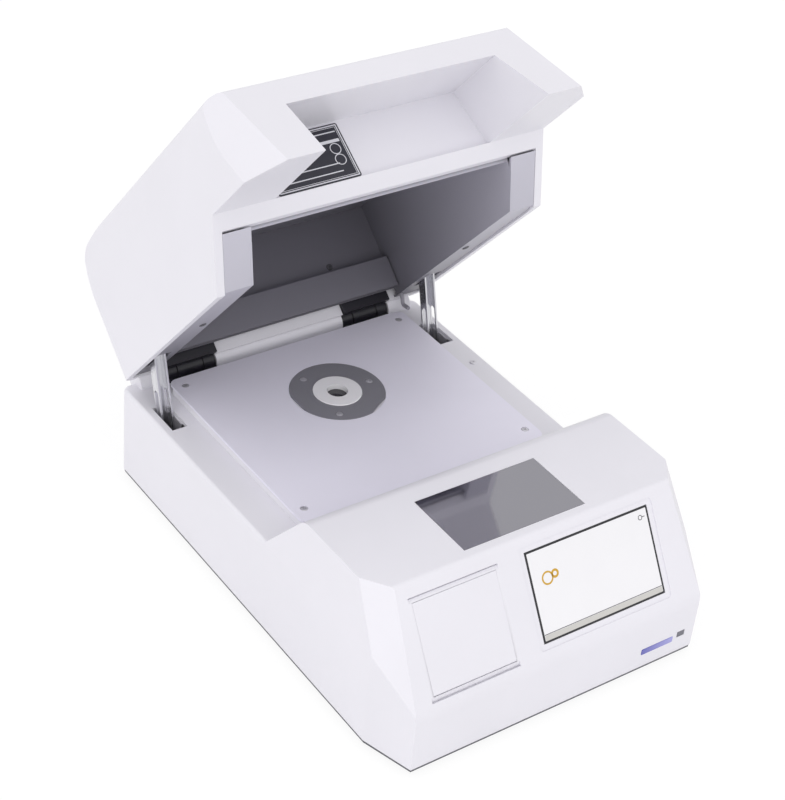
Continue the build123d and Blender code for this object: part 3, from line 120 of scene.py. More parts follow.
# Where the two near colours of a clouded surface begin and end
RAMP_LOW = 0.3
RAMP_HIGH = 0.7

# Lit pieces
SCREEN_ROUGHNESS = 0.16
SCREEN_CLOUD_SCALE = 22.0
SCREEN_CLOUD = (0.985, 1.01)
SCREEN_GLOW = 0.12
SCREEN_COAT = 0.3
LENS_ROUGHNESS = 0.2
LENS_GLOW = 0.15
LENS_COAT = 0.5

# Soft edges
SAME_POINT = 0.002 * MM
SHARP_TURN = math.radians(28.0)
SMOOTH_TURN = math.radians(35)
EDGE_SEGMENTS = 3
CASING_EDGE = 1.0 * MM
DOOR_MARGIN = Vector((0.3, 0.6, 0.6)) * MM

# Screw heads; what lies within SCREW_CAP of a plain screw's top is its face
SCREW_DOME = 0.9 * MM
SCREW_RADIUS = 2.8 * MM
SCREW_EDGE = 0.35 * MM
SCREW_SIDES = 40
SCREW_ROWS = 6
SCREW_FULLNESS = 0.8
SCREW_SPIN = 37.0
SCREW_CAP = 0.05 * MM
CROSS_ARM = 1.5 * MM
CROSS_WIDTH = 0.62 * MM
CROSS_DEPTH = 0.7 * MM

# Flat prints
PRINT_HEIGHT = 0.05 * MM
RING_SIDES = 32
CORNER_STEPS = 6

# Picture on the touch screen
SCREEN_LAP = 0.8 * MM
SCREEN_CORNER = 1.6 * MM
SCREEN_LIFT = 0.12 * MM
STATUS_HEIGHT = 4.0 * MM
STATUS_INSET = 0.8 * MM
STATUS_RISE = 0.5 * MM
SCREEN_LINE = 0.45 * MM
BIG_RING = (-40.9 * MM, 10.5 * MM, 5.0 * MM, 3.7 * MM)
SMALL_RING = (-34.1 * MM, 11.7 * MM, 3.3 * MM, 1.6 * MM)
CORNER_RING_INSET = (6.0 * MM, 5.5 * MM)
CORNER_RING_RADII = (1.9 * MM, 1.4 * MM)
CORNER_DASH = (2.4 * MM, 0.5 * MM)
CORNER_DASH_SHIFT = 3.0 * MM

# Borders, rules and rings of the rating plate, with their heights as shares of the plate's height
PLATE_BORDERS = ((1.0 * MM, 0.9 * MM), (2.6 * MM, 0.35 * MM))
PLATE_MARGIN = 4.0 * MM
PLATE_RULES = ((0.36, 0.9 * MM), (0.2, 2.4 * MM))
SHORT_RULES = (-0.2, -0.34)
SHORT_RULE_LINE = 0.8 * MM
SHORT_RULE_CUT = 10.0 * MM
SHORT_RULE_SHIFT = -3.0 * MM
PLATE_RINGS = (0.06, -0.14)
PLATE_RING_INSET = 10.0 * MM
PLATE_RING_RADII = (4.4 * MM, 3.8 * MM)


def link(piece):
    bpy.context.scene.collection.objects.link(piece)
    return piece


def rgba(colour):
    return (colour[0], colour[1], colour[2], 1.0)


# Materials

def start_material(name, colour, roughness, metallic=0.0):
    """A principled material and the parts of its tree."""
    material = bpy.data.materials.new(name)
    material.use_nodes = True
    tree = material.node_tree
    shader = tree.nodes["Principled BSDF"]
    shader.inputs["Base Color"].default_value = rgba(colour)
    shader.inputs["Roughness"].default_value = roughness
    shader.inputs["Metallic"].default_value = metallic
    return material, tree, shader


def place_vector(tree, scale=(1.0, 1.0, 1.0), offset=(0.0, 0.0, 0.0)):
    """The point on the object in metres, stretched by scale and then moved by offset."""
    coordinates = tree.nodes.new("ShaderNodeTexCoord")
    mapping = tree.nodes.new("ShaderNodeMapping")
    mapping.inputs["Scale"].default_value = scale
    mapping.inputs["Location"].default_value = offset
    tree.links.new(coordinates.outputs["Object"], mapping.inputs["Vector"])
    return mapping.outputs["Vector"]


def add_noise(tree, vector, scale, detail=2.0, roughness=0.5):
    noise = tree.nodes.new("ShaderNodeTexNoise")
    noise.inputs["Scale"].default_value = scale
    noise.inputs["Detail"].default_value = detail
    noise.inputs["Roughness"].default_value = roughness
    tree.links.new(vector, noise.inputs["Vector"])
    return noise.outputs["Fac"]


def vector_step(tree, operation, source, constant=None):
    """A vector maths node on a source, with a constant where the operation takes one."""
    node = tree.nodes.new("ShaderNodeVectorMath")
    node.operation = operation
    if constant is not None:
        node.inputs[1].default_value = constant
    tree.links.new(source, node.inputs[0])
    return node


def vary_colour(tree, shader, factor, dark, light):
    """Base colour that wanders between two near colours."""
    ramp = tree.nodes.new("ShaderNodeValToRGB")
    ramp.color_ramp.elements[0].position = RAMP_LOW
    ramp.color_ramp.elements[0].color = rgba(dark)
    ramp.color_ramp.elements[1].position = RAMP_HIGH
    ramp.color_ramp.elements[1].color = rgba(light)
    tree.links.new(factor, ramp.inputs["Fac"])
    tree.links.new(ramp.outputs["Color"], shader.inputs["Base Color"])


def vary_roughness(tree, shader, factor, roughness, swing):
    """Roughness that wanders by the two ends of swing."""
    spread = tree.nodes.new("ShaderNodeMapRange")
    spread.inputs["To Min"].default_value = roughness + swing[0]
    spread.inputs["To Max"].default_value = roughness + swing[1]
    tree.links.new(factor, spread.inputs["Value"])
    tree.links.new(spread.outputs["Result"], shader.inputs["Roughness"])


def raise_grain(tree, shader, height, strength, depth):
    bump = tree.nodes.new("ShaderNodeBump")
    bump.inputs["Strength"].default_value = strength
    bump.inputs["Distance"].default_value = depth
    tree.links.new(height, bump.inputs["Height"])
    tree.links.new(bump.outputs["Normal"], shader.inputs["Normal"])


def shade(colour, share):
    return tuple(min(part * share, 1.0) for part in colour)


def moulded(name, colour, roughness, grain=GRAIN_SCALE, depth=GRAIN_DEPTH, coat=0.0):
    """Moulded or sprayed plastic: fine grain, faint clouding and uneven gloss."""
    material, tree, shader = start_material(name, colour, roughness)
    vector = place_vector(tree)
    fine = add_noise(tree, vector, grain, detail=3.0)
    broad = add_noise(tree, vector, CLOUD_SCALE, detail=3.0)
    gloss = add_noise(tree, vector, GLOSS_SCALE)
    vary_colour(tree, shader, broad, shade(colour, 1 - CLOUD_SPREAD), shade(colour, 1 + CLOUD_SPREAD))
    vary_roughness(tree, shader, gloss, roughness, GLOSS_SWING)
    raise_grain(tree, shader, fine, GRAIN_STRENGTH, depth)
    shader.inputs["Coat Weight"].default_value = coat
    return material


def brushed(name, colour, roughness, stretch, metallic=1.0, spread=BRUSH_SPREAD, depth=LINE_DEPTH):
    """Metal with fine lines along one axis."""
    material, tree, shader = start_material(name, colour, roughness, metallic)
    lines = add_noise(tree, place_vector(tree, scale=stretch), BRUSH_SCALE, detail=4.0, roughness=0.7)
    broad = add_noise(tree, place_vector(tree), BRUSH_CLOUD_SCALE, detail=3.0)
    vary_colour(tree, shader, broad, shade(colour, 1 - spread), shade(colour, 1 + spread))
    vary_roughness(tree, shader, lines, roughness, BRUSH_SWING)
    raise_grain(tree, shader, lines, BRUSH_STRENGTH, depth)
    return material


def turned(name, colour, roughness, centre, metallic=1.0):
    """Metal turned on a lathe: fine rings about a centre line along Z."""
    material, tree, shader = start_material(name, colour, roughness, metallic)
    vector = place_vector(tree, offset=(-centre.x, -centre.y, 0.0))
    flat = vector_step(tree, "MULTIPLY", vector, (1.0, 1.0, 0.0))
    length = vector_step(tree, "LENGTH", flat.outputs["Vector"])
    noise = tree.nodes.new("ShaderNodeTexNoise")
    noise.noise_dimensions = "1D"
    noise.inputs["Scale"].default_value = TURNED_SCALE
    noise.inputs["Detail"].default_value = 3.0
    tree.links.new(length.outputs["Value"], noise.inputs["W"])
    rings = noise.outputs["Fac"]
    vary_colour(tree, shader, rings, shade(colour, 1 - TURNED_SPREAD), shade(colour, 1 + TURNED_SPREAD))
    vary_roughness(tree, shader, rings, roughness, TURNED_SWING)
    raise_grain(tree, shader, rings, GRAIN_STRENGTH, LINE_DEPTH)
    return material


def lit_screen(name, colour):
    """White picture under the touch glass, a little lit from behind."""
    material, tree, shader = start_material(name, colour, SCREEN_ROUGHNESS)
    broad = add_noise(tree, place_vector(tree), SCREEN_CLOUD_SCALE)
    vary_colour(tree, shader, broad, shade(colour, SCREEN_CLOUD[0]), shade(colour, SCREEN_CLOUD[1]))
    shader.inputs["Emission Color"].default_value = rgba(colour)
    shader.inputs["Emission Strength"].default_value = SCREEN_GLOW
    shader.inputs["Coat Weight"].default_value = SCREEN_COAT
    return material


def tinted_lens(name, dark, light):
    """Tinted light bar, brighter towards its right end, lit a little from behind."""
    material, tree, shader = start_material(name, dark, LENS_ROUGHNESS)
    low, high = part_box("status_lens")
    split = tree.nodes.new("ShaderNodeSeparateXYZ")
    tree.links.new(place_vector(tree), split.inputs["Vector"])
    along = tree.nodes.new("ShaderNodeMapRange")
    along.inputs["From Min"].default_value = low.x
    along.inputs["From Max"].default_value = high.x
    tree.links.new(split.outputs["X"], along.inputs["Value"])
    ramp = tree.nodes.new("ShaderNodeValToRGB")
    ramp.color_ramp.elements[0].color = rgba(dark)
    ramp.color_ramp.elements[1].color = rgba(light)
    tree.links.new(along.outputs["Result"], ramp.inputs["Fac"])
    tree.links.new(ramp.outputs["Color"], shader.inputs["Base Color"])
    tree.links.new(ramp.outputs["Color"], shader.inputs["Emission Color"])
    shader.inputs["Emission Strength"].default_value = LENS_GLOW
    shader.inputs["Coat Weight"].default_value = LENS_COAT
    return material


def paint_shade_inwards(material, name, outwards, dark):
    """Paints shade on a piece's colour: darker towards its end away from outwards."""
    tree = material.node_tree
    shader = tree.nodes["Principled BSDF"]
    plain = shader.inputs["Base Color"].links[0].from_socket
    reaches = [vertex.co.dot(outwards) for vertex in nodes[name].data.vertices]
    along = vector_step(tree, "DOT_PRODUCT", place_vector(tree), outwards)
    share = tree.nodes.new("ShaderNodeMapRange")
    share.inputs["From Min"].default_value = min(reaches)
    share.inputs["From Max"].default_value = max(reaches)
    mixed = tree.nodes.new("ShaderNodeMix")
    mixed.data_type = "RGBA"
    mixed.inputs["A"].default_value = rgba(dark)
    tree.links.new(along.outputs["Value"], share.inputs["Value"])
    tree.links.new(share.outputs["Result"], mixed.inputs["Factor"])
    tree.links.new(plain, mixed.inputs["B"])
    tree.links.new(mixed.outputs["Result"], shader.inputs["Base Color"])
    return material


ring_low, ring_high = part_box("window_ring")
window_centre = (ring_low + ring_high) / 2

finishes = {
    "white_shell": moulded("white_shell", (0.81, 0.8, 0.845), 0.38, coat=0.08),
    "dark_pan": moulded("dark_pan", (0.1, 0.1, 0.115), 0.5),
    "rubber": moulded("rubber", (0.03, 0.03, 0.032), 0.75, grain=900.0, depth=0.05 * MM),
    "steel": brushed("steel", (0.66, 0.65, 0.69), 0.36, (1.0, 14.0, 1.0), metallic=0.6),
    "stay_steel": brushed("stay_steel", (0.7, 0.7, 0.73), 0.24, (16.0, 1.0, 1.0)),
    "grey_rod": moulded("grey_rod", (0.33, 0.32, 0.36), 0.4),
    "satin_plate": brushed("satin_plate", (0.86, 0.84, 0.94), 0.5, (1.0, 26.0, 1.0), metallic=0.1,
                           spread=0.015),
    "dark_disc": turned("dark_disc", (0.34, 0.335, 0.37), 0.42, window_centre, metallic=0.45),
    "white_ring": moulded("white_ring", (0.92, 0.91, 0.93), 0.18, coat=0.5),
    "film": moulded("film", (0.035, 0.034, 0.04), 0.12, coat=0.6),
    "mirror": brushed("mirror", (0.3, 0.295, 0.325), 0.045, (1.0, 3.0, 1.0), spread=0.01,
                      depth=0.0002 * MM),
    "display": lit_screen("display", (0.78, 0.775, 0.79)),
    "black_plastic": moulded("black_plastic", (0.018, 0.018, 0.022), 0.42),
    "hinge_black": moulded("hinge_black", (0.014, 0.013, 0.02), 0.38),
    "dark_plastic": moulded("dark_plastic", (0.06, 0.06, 0.07), 0.5),
    "dark_metal": moulded("dark_metal", (0.09, 0.09, 0.1), 0.45),
    "paper": moulded("paper", (0.8, 0.8, 0.77), 0.85, grain=3000.0),
    "violet_lens": tinted_lens("violet_lens", (0.06, 0.06, 0.36), (0.3, 0.3, 0.62)),
    # The lid liner's colour darkens with painted shade towards the lid's deep rear inside
    "liner_grey": paint_shade_inwards(
        brushed("liner_grey", (0.58, 0.57, 0.64), 0.42, (12.0, 1.0, 1.0), metallic=0.2, spread=0.03),
        "lid_liner", lid_turn @ FORWARD, (0.16, 0.155, 0.18)),
    "label_black": moulded("label_black", (0.02, 0.02, 0.032), 0.35),
    "aluminium": brushed("aluminium", (0.6, 0.6, 0.62), 0.35, (1.0, 20.0, 1.0)),
    "brass": brushed("brass", (0.6, 0.46, 0.2), 0.3, (1.0, 1.0, 10.0)),
    "board_green": moulded("board_green", (0.015, 0.12, 0.05), 0.3),
}
indicator_grey = moulded("indicator_grey", (0.12, 0.12, 0.15), 0.3, coat=0.4)
print_white = moulded("print_white", (0.72, 0.72, 0.76), 0.5)
print_grey = moulded("print_grey", (0.6, 0.59, 0.56), 0.5)
print_dark = moulded("print_dark", (0.03, 0.03, 0.04), 0.5)
print_gold = moulded("print_gold", (0.62, 0.36, 0.03), 0.4)

slot_of = {entry["node"]: entry["material_slot"] for entry in record["subparts"]}
for name, node in nodes.items():
    node.data.materials.clear()
    node.data.materials.append(finishes[slot_of[name]])
nodes["indicator_window"].data.materials[0] = indicator_grey


# Soft edges on the moulded and folded pieces

def edge_weights(low, high):
    """Node group that weighs the edges that turn sharply, but for those inside the box."""
    group = bpy.data.node_groups.new("edge weights", "GeometryNodeTree")
    for way in ("INPUT", "OUTPUT"):
        group.interface.new_socket("Geometry", in_out=way, socket_type="NodeSocketGeometry")

    def step(kind, operation, sources):
        node = group.nodes.new(kind)
        node.operation = operation
        for socket, source in zip(node.inputs, sources):
            if hasattr(source, "links"):
                group.links.new(source, socket)
            else:
                socket.default_value = source
        return node.outputs[0]

    place = group.nodes.new("GeometryNodeInputPosition").outputs[0]
    turn = group.nodes.new("GeometryNodeInputMeshEdgeAngle").outputs["Unsigned Angle"]
    away = step("ShaderNodeVectorMath", "SUBTRACT", [place, (low + high) / 2])
    reach = step("ShaderNodeVectorMath", "ABSOLUTE", [away])
    past = step("ShaderNodeVectorMath", "SUBTRACT", [reach, (high - low) / 2])
    split = group.nodes.new("ShaderNodeSeparateXYZ")
    group.links.new(past, split.inputs[0])
    furthest = step("ShaderNodeMath", "MAXIMUM", [split.outputs["X"], split.outputs["Y"]])
    furthest = step("ShaderNodeMath", "MAXIMUM", [furthest, split.outputs["Z"]])
    outside = step("ShaderNodeMath", "GREATER_THAN", [furthest, 0.0])
    sharp = step("ShaderNodeMath", "GREATER_THAN", [turn, SHARP_TURN])
    weight = step("ShaderNodeMath", "MULTIPLY", [outside, sharp])
    store = group.nodes.new("GeometryNodeStoreNamedAttribute")
    store.data_type = "FLOAT"
    store.domain = "EDGE"
    store.inputs["Name"].default_value = "bevel_weight_edge"
    begin = group.nodes.new("NodeGroupInput")
    finish = group.nodes.new("NodeGroupOutput")
    group.links.new(begin.outputs[0], store.inputs["Geometry"])
    group.links.new(weight, store.inputs["Value"])
    group.links.new(store.outputs[0], finish.inputs[0])
    return group


def soften(name, width, crisp=None):
    """Rounds a CAD piece's sharp edges with modifiers, but for those inside the crisp box."""
    node = nodes[name]
    weld = node.modifiers.new("weld", "WELD")
    weld.merge_threshold = SAME_POINT
    if crisp is not None:
        weigh = node.modifiers.new("edge weights", "NODES")
        weigh.node_group = edge_weights(*crisp)
    bevel = node.modifiers.new("soft edges", "BEVEL")
    bevel.width = width
    bevel.segments = EDGE_SEGMENTS
    bevel.use_clamp_overlap = True
    bevel.miter_outer = "MITER_ARC"
    bevel.angle_limit = SHARP_TURN
    bevel.limit_method = "ANGLE" if crisp is None else "WEIGHT"
    node.modifiers.new("even normals", "WEIGHTED_NORMAL")


EDGE_WIDTHS = {
    "lid_shell": 1.3 * MM,
    "window_ring": 0.9 * MM,
    "mirror_plate": 0.2 * MM,
    "display_bezel": 0.3 * MM,
    "lid_liner": 0.35 * MM,
    "liner_rear_panel": 0.35 * MM,
    "lid_stay_left": 0.3 * MM,
    "lid_stay_right": 0.3 * MM,
    "hinge_base_leaf_left": 0.5 * MM,
    "hinge_base_leaf_right": 0.5 * MM,
    "hinge_lid_leaf_left": 0.5 * MM,
    "hinge_lid_leaf_right": 0.5 * MM,
    "bottom_pan": 0.4 * MM,
    "power_inlet": 0.4 * MM,
    "power_rocker": 0.4 * MM,
    "switch_frame": 0.3 * MM,
    "port_panel": 0.3 * MM,
    "fan_frame": 0.4 * MM,
    "rating_plate": 0.15 * MM,
    "status_lens": 0.3 * MM,
    "indicator_window": 0.2 * MM,
    "stay_guide_left": 0.2 * MM,
    "stay_guide_right": 0.2 * MM,
}
for name, width in EDGE_WIDTHS.items():
    soften(name, width)
door_low, door_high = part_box("printer_door")
soften("base_casing", CASING_EDGE, crisp=(door_low - DOOR_MARGIN, door_high + DOOR_MARGIN))


# Piece making

def finish_piece(name, shape, material, body):
    """Turns a bmesh into a piece that rides on a body."""
    bmesh.ops.recalc_face_normals(shape, faces=shape.faces)
    mesh = bpy.data.meshes.new(name)
    shape.to_mesh(mesh)
    shape.free()
    mesh.materials.append(material)
    mesh.shade_smooth()
    mesh.set_sharp_from_angle(angle=SMOOTH_TURN)
    piece = link(bpy.data.objects.new(name, mesh))
    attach(piece, body)
    return piece


def add_prism(shape, outline, base, right, up, height):
    """Adds a prism whose outline is given in metres along right and up from base."""
    normal = right.cross(up)
    low = [shape.verts.new(base + right * x + up * y) for x, y in outline]
    high = [shape.verts.new(base + right * x + up * y + normal * height) for x, y in outline]
    shape.faces.new(list(reversed(low)))
    shape.faces.new(high)
    count = len(outline)
    for index in range(count):
        following = (index + 1) % count
        shape.faces.new((low[index], low[following], high[following], high[index]))


def add_ring(shape, ring, base, right, up, height):
    """Adds a flat ring, given by its centre's two coordinates and its outer and inner radius."""
    centre_x, centre_y, outer, inner = ring
    normal = right.cross(up)
    loops = []
    for radius, lift in ((outer, 0.0), (outer, height), (inner, height), (inner, 0.0)):
        loop = []
        for step in range(RING_SIDES):
            turn = 2 * math.pi * step / RING_SIDES
            x = centre_x + radius * math.cos(turn)
            y = centre_y + radius * math.sin(turn)
            loop.append(shape.verts.new(base + right * x + up * y + normal * lift))
        loops.append(loop)
    for here, there in zip(loops, loops[1:] + loops[:1]):
        for step in range(RING_SIDES):
            following = (step + 1) % RING_SIDES
            shape.faces.new((here[step], here[following], there[following], there[step]))


def rectangle(centre_x, centre_y, width, height):
    half_w = width / 2
    half_h = height / 2
    return [(centre_x - half_w, centre_y - half_h), (centre_x + half_w, centre_y - half_h),
            (centre_x + half_w, centre_y + half_h), (centre_x - half_w, centre_y + half_h)]


def rounded(width, height, radius):
    """Outline of a rectangle with round corners about the origin."""
    outline = []
    for corner, (side_x, side_y) in enumerate(((1, 1), (-1, 1), (-1, -1), (1, -1))):
        for step in range(CORNER_STEPS + 1):
            turn = math.pi / 2 * (corner + step / CORNER_STEPS)
            outline.append((side_x * (width / 2 - radius) + radius * math.cos(turn),
                            side_y * (height / 2 - radius) + radius * math.sin(turn)))
    return outline


def frame_bars(width, height, line):
    """Four bars that outline a rectangle about the origin, butted at the corners."""
    x = width / 2 - line / 2
    y = height / 2 - line / 2
    upright = height - 2 * line
    return [rectangle(0, y, width, line), rectangle(0, -y, width, line),
            rectangle(-x, 0, line, upright), rectangle(x, 0, line, upright)]


# Screw heads

def rounded_middle(points):
    """Mean of the points to a hundredth of a millimetre, to sort by."""
    return tuple(round(sum(point[axis] for point in points) / len(points), 5) for axis in range(3))


def islands(name):
    """The separate solids of a node, each as a list of its points."""
    shape = bmesh.new()
    shape.from_mesh(nodes[name].data)
    bmesh.ops.remove_doubles(shape, verts=shape.verts, dist=SAME_POINT)
    left = set(shape.verts)
    groups = []
    while left:
        front = [left.pop()]
        group = []
        while front:
            vertex = front.pop()
            group.append(vertex.co.copy())
            for edge in vertex.link_edges:
                other = edge.other_vert(vertex)
                if other in left:
                    left.remove(other)
                    front.append(other)
        groups.append(group)
    shape.free()
    return sorted(groups, key=rounded_middle)


def to_object(name, shape):
    """Turns a bmesh into a plain object for a cut."""
    mesh = bpy.data.meshes.new(name)
    shape.to_mesh(mesh)
    shape.free()
    return link(bpy.data.objects.new(name, mesh))


def domed_head():
    """Round head with a short upright edge and a low dome, seat at Z = 0."""
    profile = [(SCREW_RADIUS, 0.0), (SCREW_RADIUS, SCREW_EDGE)]
    for part in range(1, SCREW_ROWS):
        turn = math.pi / 2 * part / SCREW_ROWS
        profile.append((SCREW_RADIUS * math.cos(turn) ** SCREW_FULLNESS,
                        SCREW_EDGE + (SCREW_DOME - SCREW_EDGE) * math.sin(turn)))
    shape = bmesh.new()
    rows = []
    for radius, height in profile:
        row = []
        for side in range(SCREW_SIDES):
            turn = 2 * math.pi * side / SCREW_SIDES
            row.append(shape.verts.new((radius * math.cos(turn), radius * math.sin(turn), height)))
        rows.append(row)
    top = shape.verts.new((0.0, 0.0, SCREW_DOME))
    for row, upper in zip(rows, rows[1:]):
        for side in range(SCREW_SIDES):
            following = (side + 1) % SCREW_SIDES
            shape.faces.new((row[side], row[following], upper[following], upper[side]))
    for side in range(SCREW_SIDES):
        shape.faces.new((rows[-1][side], rows[-1][(side + 1) % SCREW_SIDES], top))
    shape.faces.new(list(reversed(rows[0])))
    return shape


def cross_cutter():
    """Upright cross that reaches CROSS_DEPTH into the top of a head."""
    shape = bmesh.new()
    arm = CROSS_ARM
    half = CROSS_WIDTH / 2
    outline = [(-arm, -half), (-half, -half), (-half, -arm), (half, -arm), (half, -half), (arm, -half),
               (arm, half), (half, half), (half, arm), (-half, arm), (-half, half), (-arm, half)]
    add_prism(shape, outline, UP * (SCREW_DOME - CROSS_DEPTH), RIGHT, -FORWARD, 2 * CROSS_DEPTH)
    bmesh.ops.recalc_face_normals(shape, faces=shape.faces)
    return shape


def screw_head_mesh():
    """One domed head with a cross recess, made once and copied."""
    head = to_object("screw_head", domed_head())
    cross = to_object("cross", cross_cutter())
    cut = head.modifiers.new("recess", "BOOLEAN")
    cut.operation = "DIFFERENCE"
    cut.solver = "EXACT"
    cut.object = cross
    graph = bpy.context.evaluated_depsgraph_get()
    made = bpy.data.meshes.new_from_object(head.evaluated_get(graph))
    bpy.data.objects.remove(head)
    bpy.data.objects.remove(cross)
    return made


screw_head = screw_head_mesh()


def reach_along(points, direction):
    places = [point.dot(direction) for point in points]
    return max(places) - min(places)


def screw_heads(node, normals, body, seat_below, finish="steel"):
    """Cross-recessed heads in place of a node's plain screws, each turned a little differently.

    Each screw faces along the one of the normals that it is shortest in.
    """
    shape = bmesh.new()
    for index, points in enumerate(islands(node)):
        normal = min(normals, key=lambda way: reach_along(points, way))
        top = max(point.dot(normal) for point in points)
        cap = [point for point in points if point.dot(normal) > top - SCREW_CAP]
        centre = sum(cap, Vector()) / len(cap)
        seat = centre - normal * seat_below
        turn = normal.to_track_quat("Z", "Y").to_matrix().to_4x4()
        spin = Matrix.Rotation(math.radians(SCREW_SPIN * (index + 1)), 4, "Z")
        copy = bmesh.new()
        copy.from_mesh(screw_head)
        bmesh.ops.transform(copy, matrix=Matrix.Translation(seat) @ turn @ spin, verts=copy.verts)
        part = bpy.data.meshes.new("part")
        copy.to_mesh(part)
        copy.free()
        shape.from_mesh(part)
        bpy.data.meshes.remove(part)
    piece = finish_piece(node + "_heads", shape, finishes[finish], body)
    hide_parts(node)


screw_heads("plate_screws", [UP], "base", seat_below=0.8 * MM)
screw_heads("disc_screws", [UP], "base", seat_below=0.8 * MM)
screw_heads("deck_screw", [UP], "base", seat_below=1.0 * MM)
screw_heads("pan_screws", [-UP], "base", seat_below=0.3 * MM)
screw_heads("liner_screws", [lid_turn @ -UP, lid_turn @ FORWARD], "lid", seat_below=1.1 * MM,
            finish="dark_metal")


# Touch screen picture

def flat_face(name, box, normal, up):
    """Middle of a flat piece's face along normal, with the piece's width and its height along up."""
    low, high = box
    middle = (low + high) / 2
    points = [vertex.co - middle for vertex in nodes[name].data.vertices]
    reach = max(point.dot(normal) for point in points)
    tall = max(point.dot(up) for point in points)
    return middle + normal * reach, high.x - low.x, 2 * tall


screen_up = Vector((0.0, PANEL_RUN, PANEL_RISE)).normalized()
screen_normal = RIGHT.cross(screen_up)
glass_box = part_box("display_glass")
glass_face, screen_width, screen_height = flat_face("display_glass", glass_box, screen_normal, screen_up)


def on_screen(name, outlines, material, rings=(), lift=SCREEN_LIFT + PRINT_HEIGHT):
    """Flat print on the screen; outlines and rings are given from its middle."""
    base = glass_face + screen_normal * lift
    shape = bmesh.new()
    for outline in outlines:
        add_prism(shape, outline, base, RIGHT, screen_up, PRINT_HEIGHT)
    for ring in rings:
        add_ring(shape, ring, base, RIGHT, screen_up, PRINT_HEIGHT)
    finish_piece(name, shape, material, "base")


picture_width = screen_width + 2 * SCREEN_LAP
picture_height = screen_height + 2 * SCREEN_LAP
status_width = picture_width - 2 * STATUS_INSET
status_y = -picture_height / 2 + STATUS_HEIGHT / 2 + STATUS_RISE
line_y = status_y + STATUS_HEIGHT / 2 + SCREEN_LINE
corner_x = screen_width / 2 - CORNER_RING_INSET[0]
corner_y = screen_height / 2 - CORNER_RING_INSET[1]
on_screen("screen_picture", [rounded(picture_width, picture_height, SCREEN_CORNER)], finishes["display"],
          lift=SCREEN_LIFT)
on_screen("screen_status_bar", [rectangle(0, status_y, status_width, STATUS_HEIGHT)], print_grey)
on_screen("screen_status_line", [rectangle(0, line_y, status_width, SCREEN_LINE)], print_dark)
on_screen("screen_icon", [], print_gold, rings=[BIG_RING, SMALL_RING])
on_screen("screen_corner_icon", [rectangle(corner_x + CORNER_DASH_SHIFT, corner_y, *CORNER_DASH)],
          print_dark, rings=[(corner_x, corner_y, *CORNER_RING_RADII)])


# Rating plate: bare white rules, borders and rings on the dark plate

def rating_lines():
    normal = lid_turn @ Vector((0.0, -RECESS_RISE, RECESS_RUN)).normalized()
    up = normal.cross(RIGHT)
    face, width, height = flat_face("rating_plate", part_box("rating_plate"), normal, up)
    rule_width = width - 2 * PLATE_MARGIN
    bars = []
    for inset, line in PLATE_BORDERS:
        bars += frame_bars(width - 2 * inset, height - 2 * inset, line)
    for share, line in PLATE_RULES:
        bars.append(rectangle(0, share * height, rule_width, line))
    for share in SHORT_RULES:
        bars.append(rectangle(SHORT_RULE_SHIFT, share * height, rule_width - SHORT_RULE_CUT,
                              SHORT_RULE_LINE))
    shape = bmesh.new()
    for share in PLATE_RINGS:
        ring = (width / 2 - PLATE_RING_INSET, share * height, *PLATE_RING_RADII)
        add_ring(shape, ring, face, RIGHT, up, PRINT_HEIGHT)
    for bar in bars:
        add_prism(shape, bar, face, RIGHT, up, PRINT_HEIGHT)
    finish_piece("rating_plate_rules", shape, print_white, "lid")


rating_lines()


# Stage: floor, lights and camera

def seen_share(tree):
    """1 for what is seen straight, in gloss or through glass, and 0 for light on its way round."""
    path = tree.nodes.new("ShaderNodeLightPath")
    seen = path.outputs["Is Camera Ray"]
    for name in ("Is Glossy Ray", "Is Transmission Ray"):
        either = tree.nodes.new("ShaderNodeMath")
        either.operation = "MAXIMUM"
        tree.links.new(seen, either.inputs[0])
        tree.links.new(path.outputs[name], either.inputs[1])
        seen = either.outputs["Value"]
    return seen


def mix_by_ray(tree, unseen, seen, output):
    """Shows one shader where light only passes on its way round, and another where it is seen."""
    mixed = tree.nodes.new("ShaderNodeMixShader")
    tree.links.new(seen_share(tree), mixed.inputs["Fac"])
    tree.links.new(unseen, mixed.inputs[1])
    tree.links.new(seen, mixed.inputs[2])
    tree.links.new(mixed.outputs["Shader"], output.inputs["Surface"])


def add_floor():
    """White floor that keeps a faint shadow where it is seen, a little below the feet."""
    mesh = bpy.data.meshes.new("floor")
    reach = FLOOR_REACH
    corners = [(-reach, -reach), (reach, -reach), (reach, reach), (-reach, reach)]
    mesh.from_pydata([(x, y, -FLOOR_DROP) for x, y in corners], [], [(0, 1, 2, 3)])
    floor = link(bpy.data.objects.new("floor", mesh))
    material, tree, shader = start_material("floor", FLOOR_TONE, FLOOR_ROUGHNESS)
    shader.inputs["Specular IOR Level"].default_value = 0.0
    glow = tree.nodes.new("ShaderNodeEmission")
    glow.inputs["Strength"].default_value = FLOOR_GLOW
    shadow = tree.nodes.new("ShaderNodeBsdfDiffuse")
    shadow.inputs["Color"].default_value = rgba(FLOOR_SHADE)
    both = tree.nodes.new("ShaderNodeAddShader")
    tree.links.new(glow.outputs["Emission"], both.inputs[0])
    tree.links.new(shadow.outputs["BSDF"], both.inputs[1])
    mix_by_ray(tree, shader.outputs["BSDF"], both.outputs["Shader"], tree.nodes["Material Output"])
    mesh.materials.append(material)


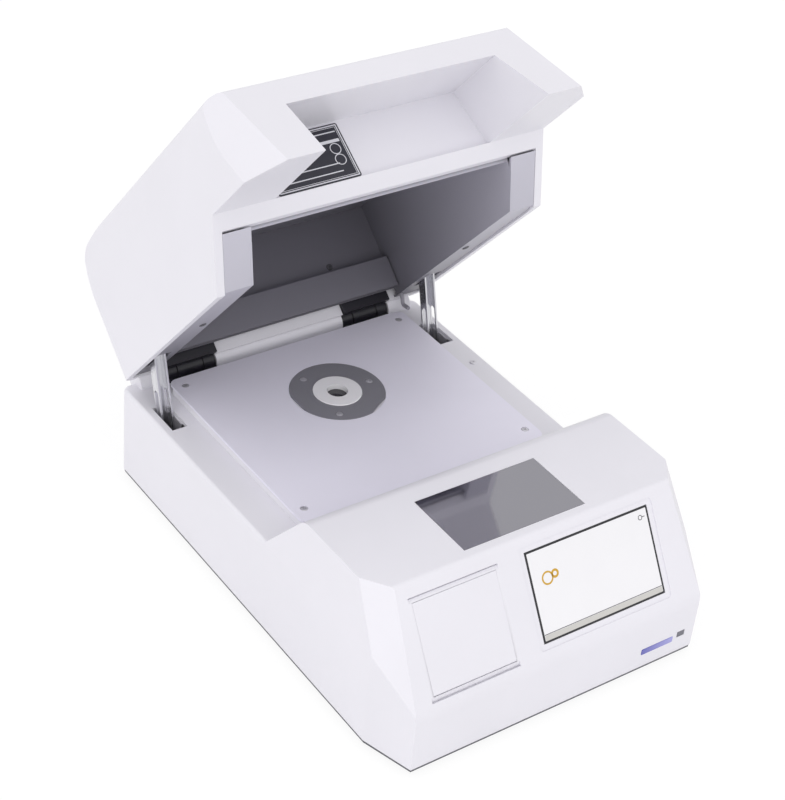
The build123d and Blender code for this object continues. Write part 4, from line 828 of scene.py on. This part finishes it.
def add_world():
    """Soft sky, brighter on the photograph's lit side, that looks plain white where it is seen."""
    world = bpy.data.worlds.new("studio")
    world.use_nodes = True
    tree = world.node_tree
    tree.nodes.clear()
    sky = tree.nodes.new("ShaderNodeBackground")
    sky.inputs["Color"].default_value = rgba(SKY_TINT)
    direction = tree.nodes.new("ShaderNodeTexCoord")
    facing = vector_step(tree, "DOT_PRODUCT", direction.outputs["Generated"], SKY_SIDE.normalized())
    level = tree.nodes.new("ShaderNodeMapRange")
    level.inputs["From Min"].default_value = -1.0
    level.inputs["To Min"].default_value = SKY_DIM
    level.inputs["To Max"].default_value = SKY_BRIGHT
    tree.links.new(facing.outputs["Value"], level.inputs["Value"])
    tree.links.new(level.outputs["Result"], sky.inputs["Strength"])
    plain = tree.nodes.new("ShaderNodeBackground")
    plain.inputs["Color"].default_value = (1.0, 1.0, 1.0, 1.0)
    plain.inputs["Strength"].default_value = 1.0
    output = tree.nodes.new("ShaderNodeOutputWorld")
    mix_by_ray(tree, sky.outputs["Background"], plain.outputs["Background"], output)
    bpy.context.scene.world = world


def add_lamp(name, place, size, watts, colour):
    """Round area lamp aimed at the middle of the object."""
    light = bpy.data.lights.new(name, "AREA")
    light.shape = "DISK"
    light.size = size
    light.energy = watts
    light.color = colour
    lamp = link(bpy.data.objects.new(name, light))
    lamp.location = place
    aim = (cad_low + cad_high) / 2
    lamp.rotation_euler = (aim - place).to_track_quat("-Z", "Y").to_euler()


def add_camera():
    lens = bpy.data.cameras.new("camera")
    lens.lens = CAMERA_LENS
    lens.sensor_width = SENSOR_WIDTH
    lens.sensor_fit = "HORIZONTAL"
    lens.clip_end = CAMERA_REACH
    camera = link(bpy.data.objects.new("camera", lens))
    level = CAMERA_SIGHT.to_track_quat("-Z", "Y").to_matrix().to_4x4()
    roll = Matrix.Rotation(math.radians(CAMERA_ROLL), 4, "Z")
    camera.matrix_world = Matrix.Translation(CAMERA_PLACE) @ level @ roll
    bpy.context.scene.camera = camera


add_floor()
add_world()
add_lamp("key", KEY_PLACE, KEY_SIZE, KEY_WATTS, KEY_TINT)
add_camera()
bpy.context.scene.view_settings.view_transform = "Standard"
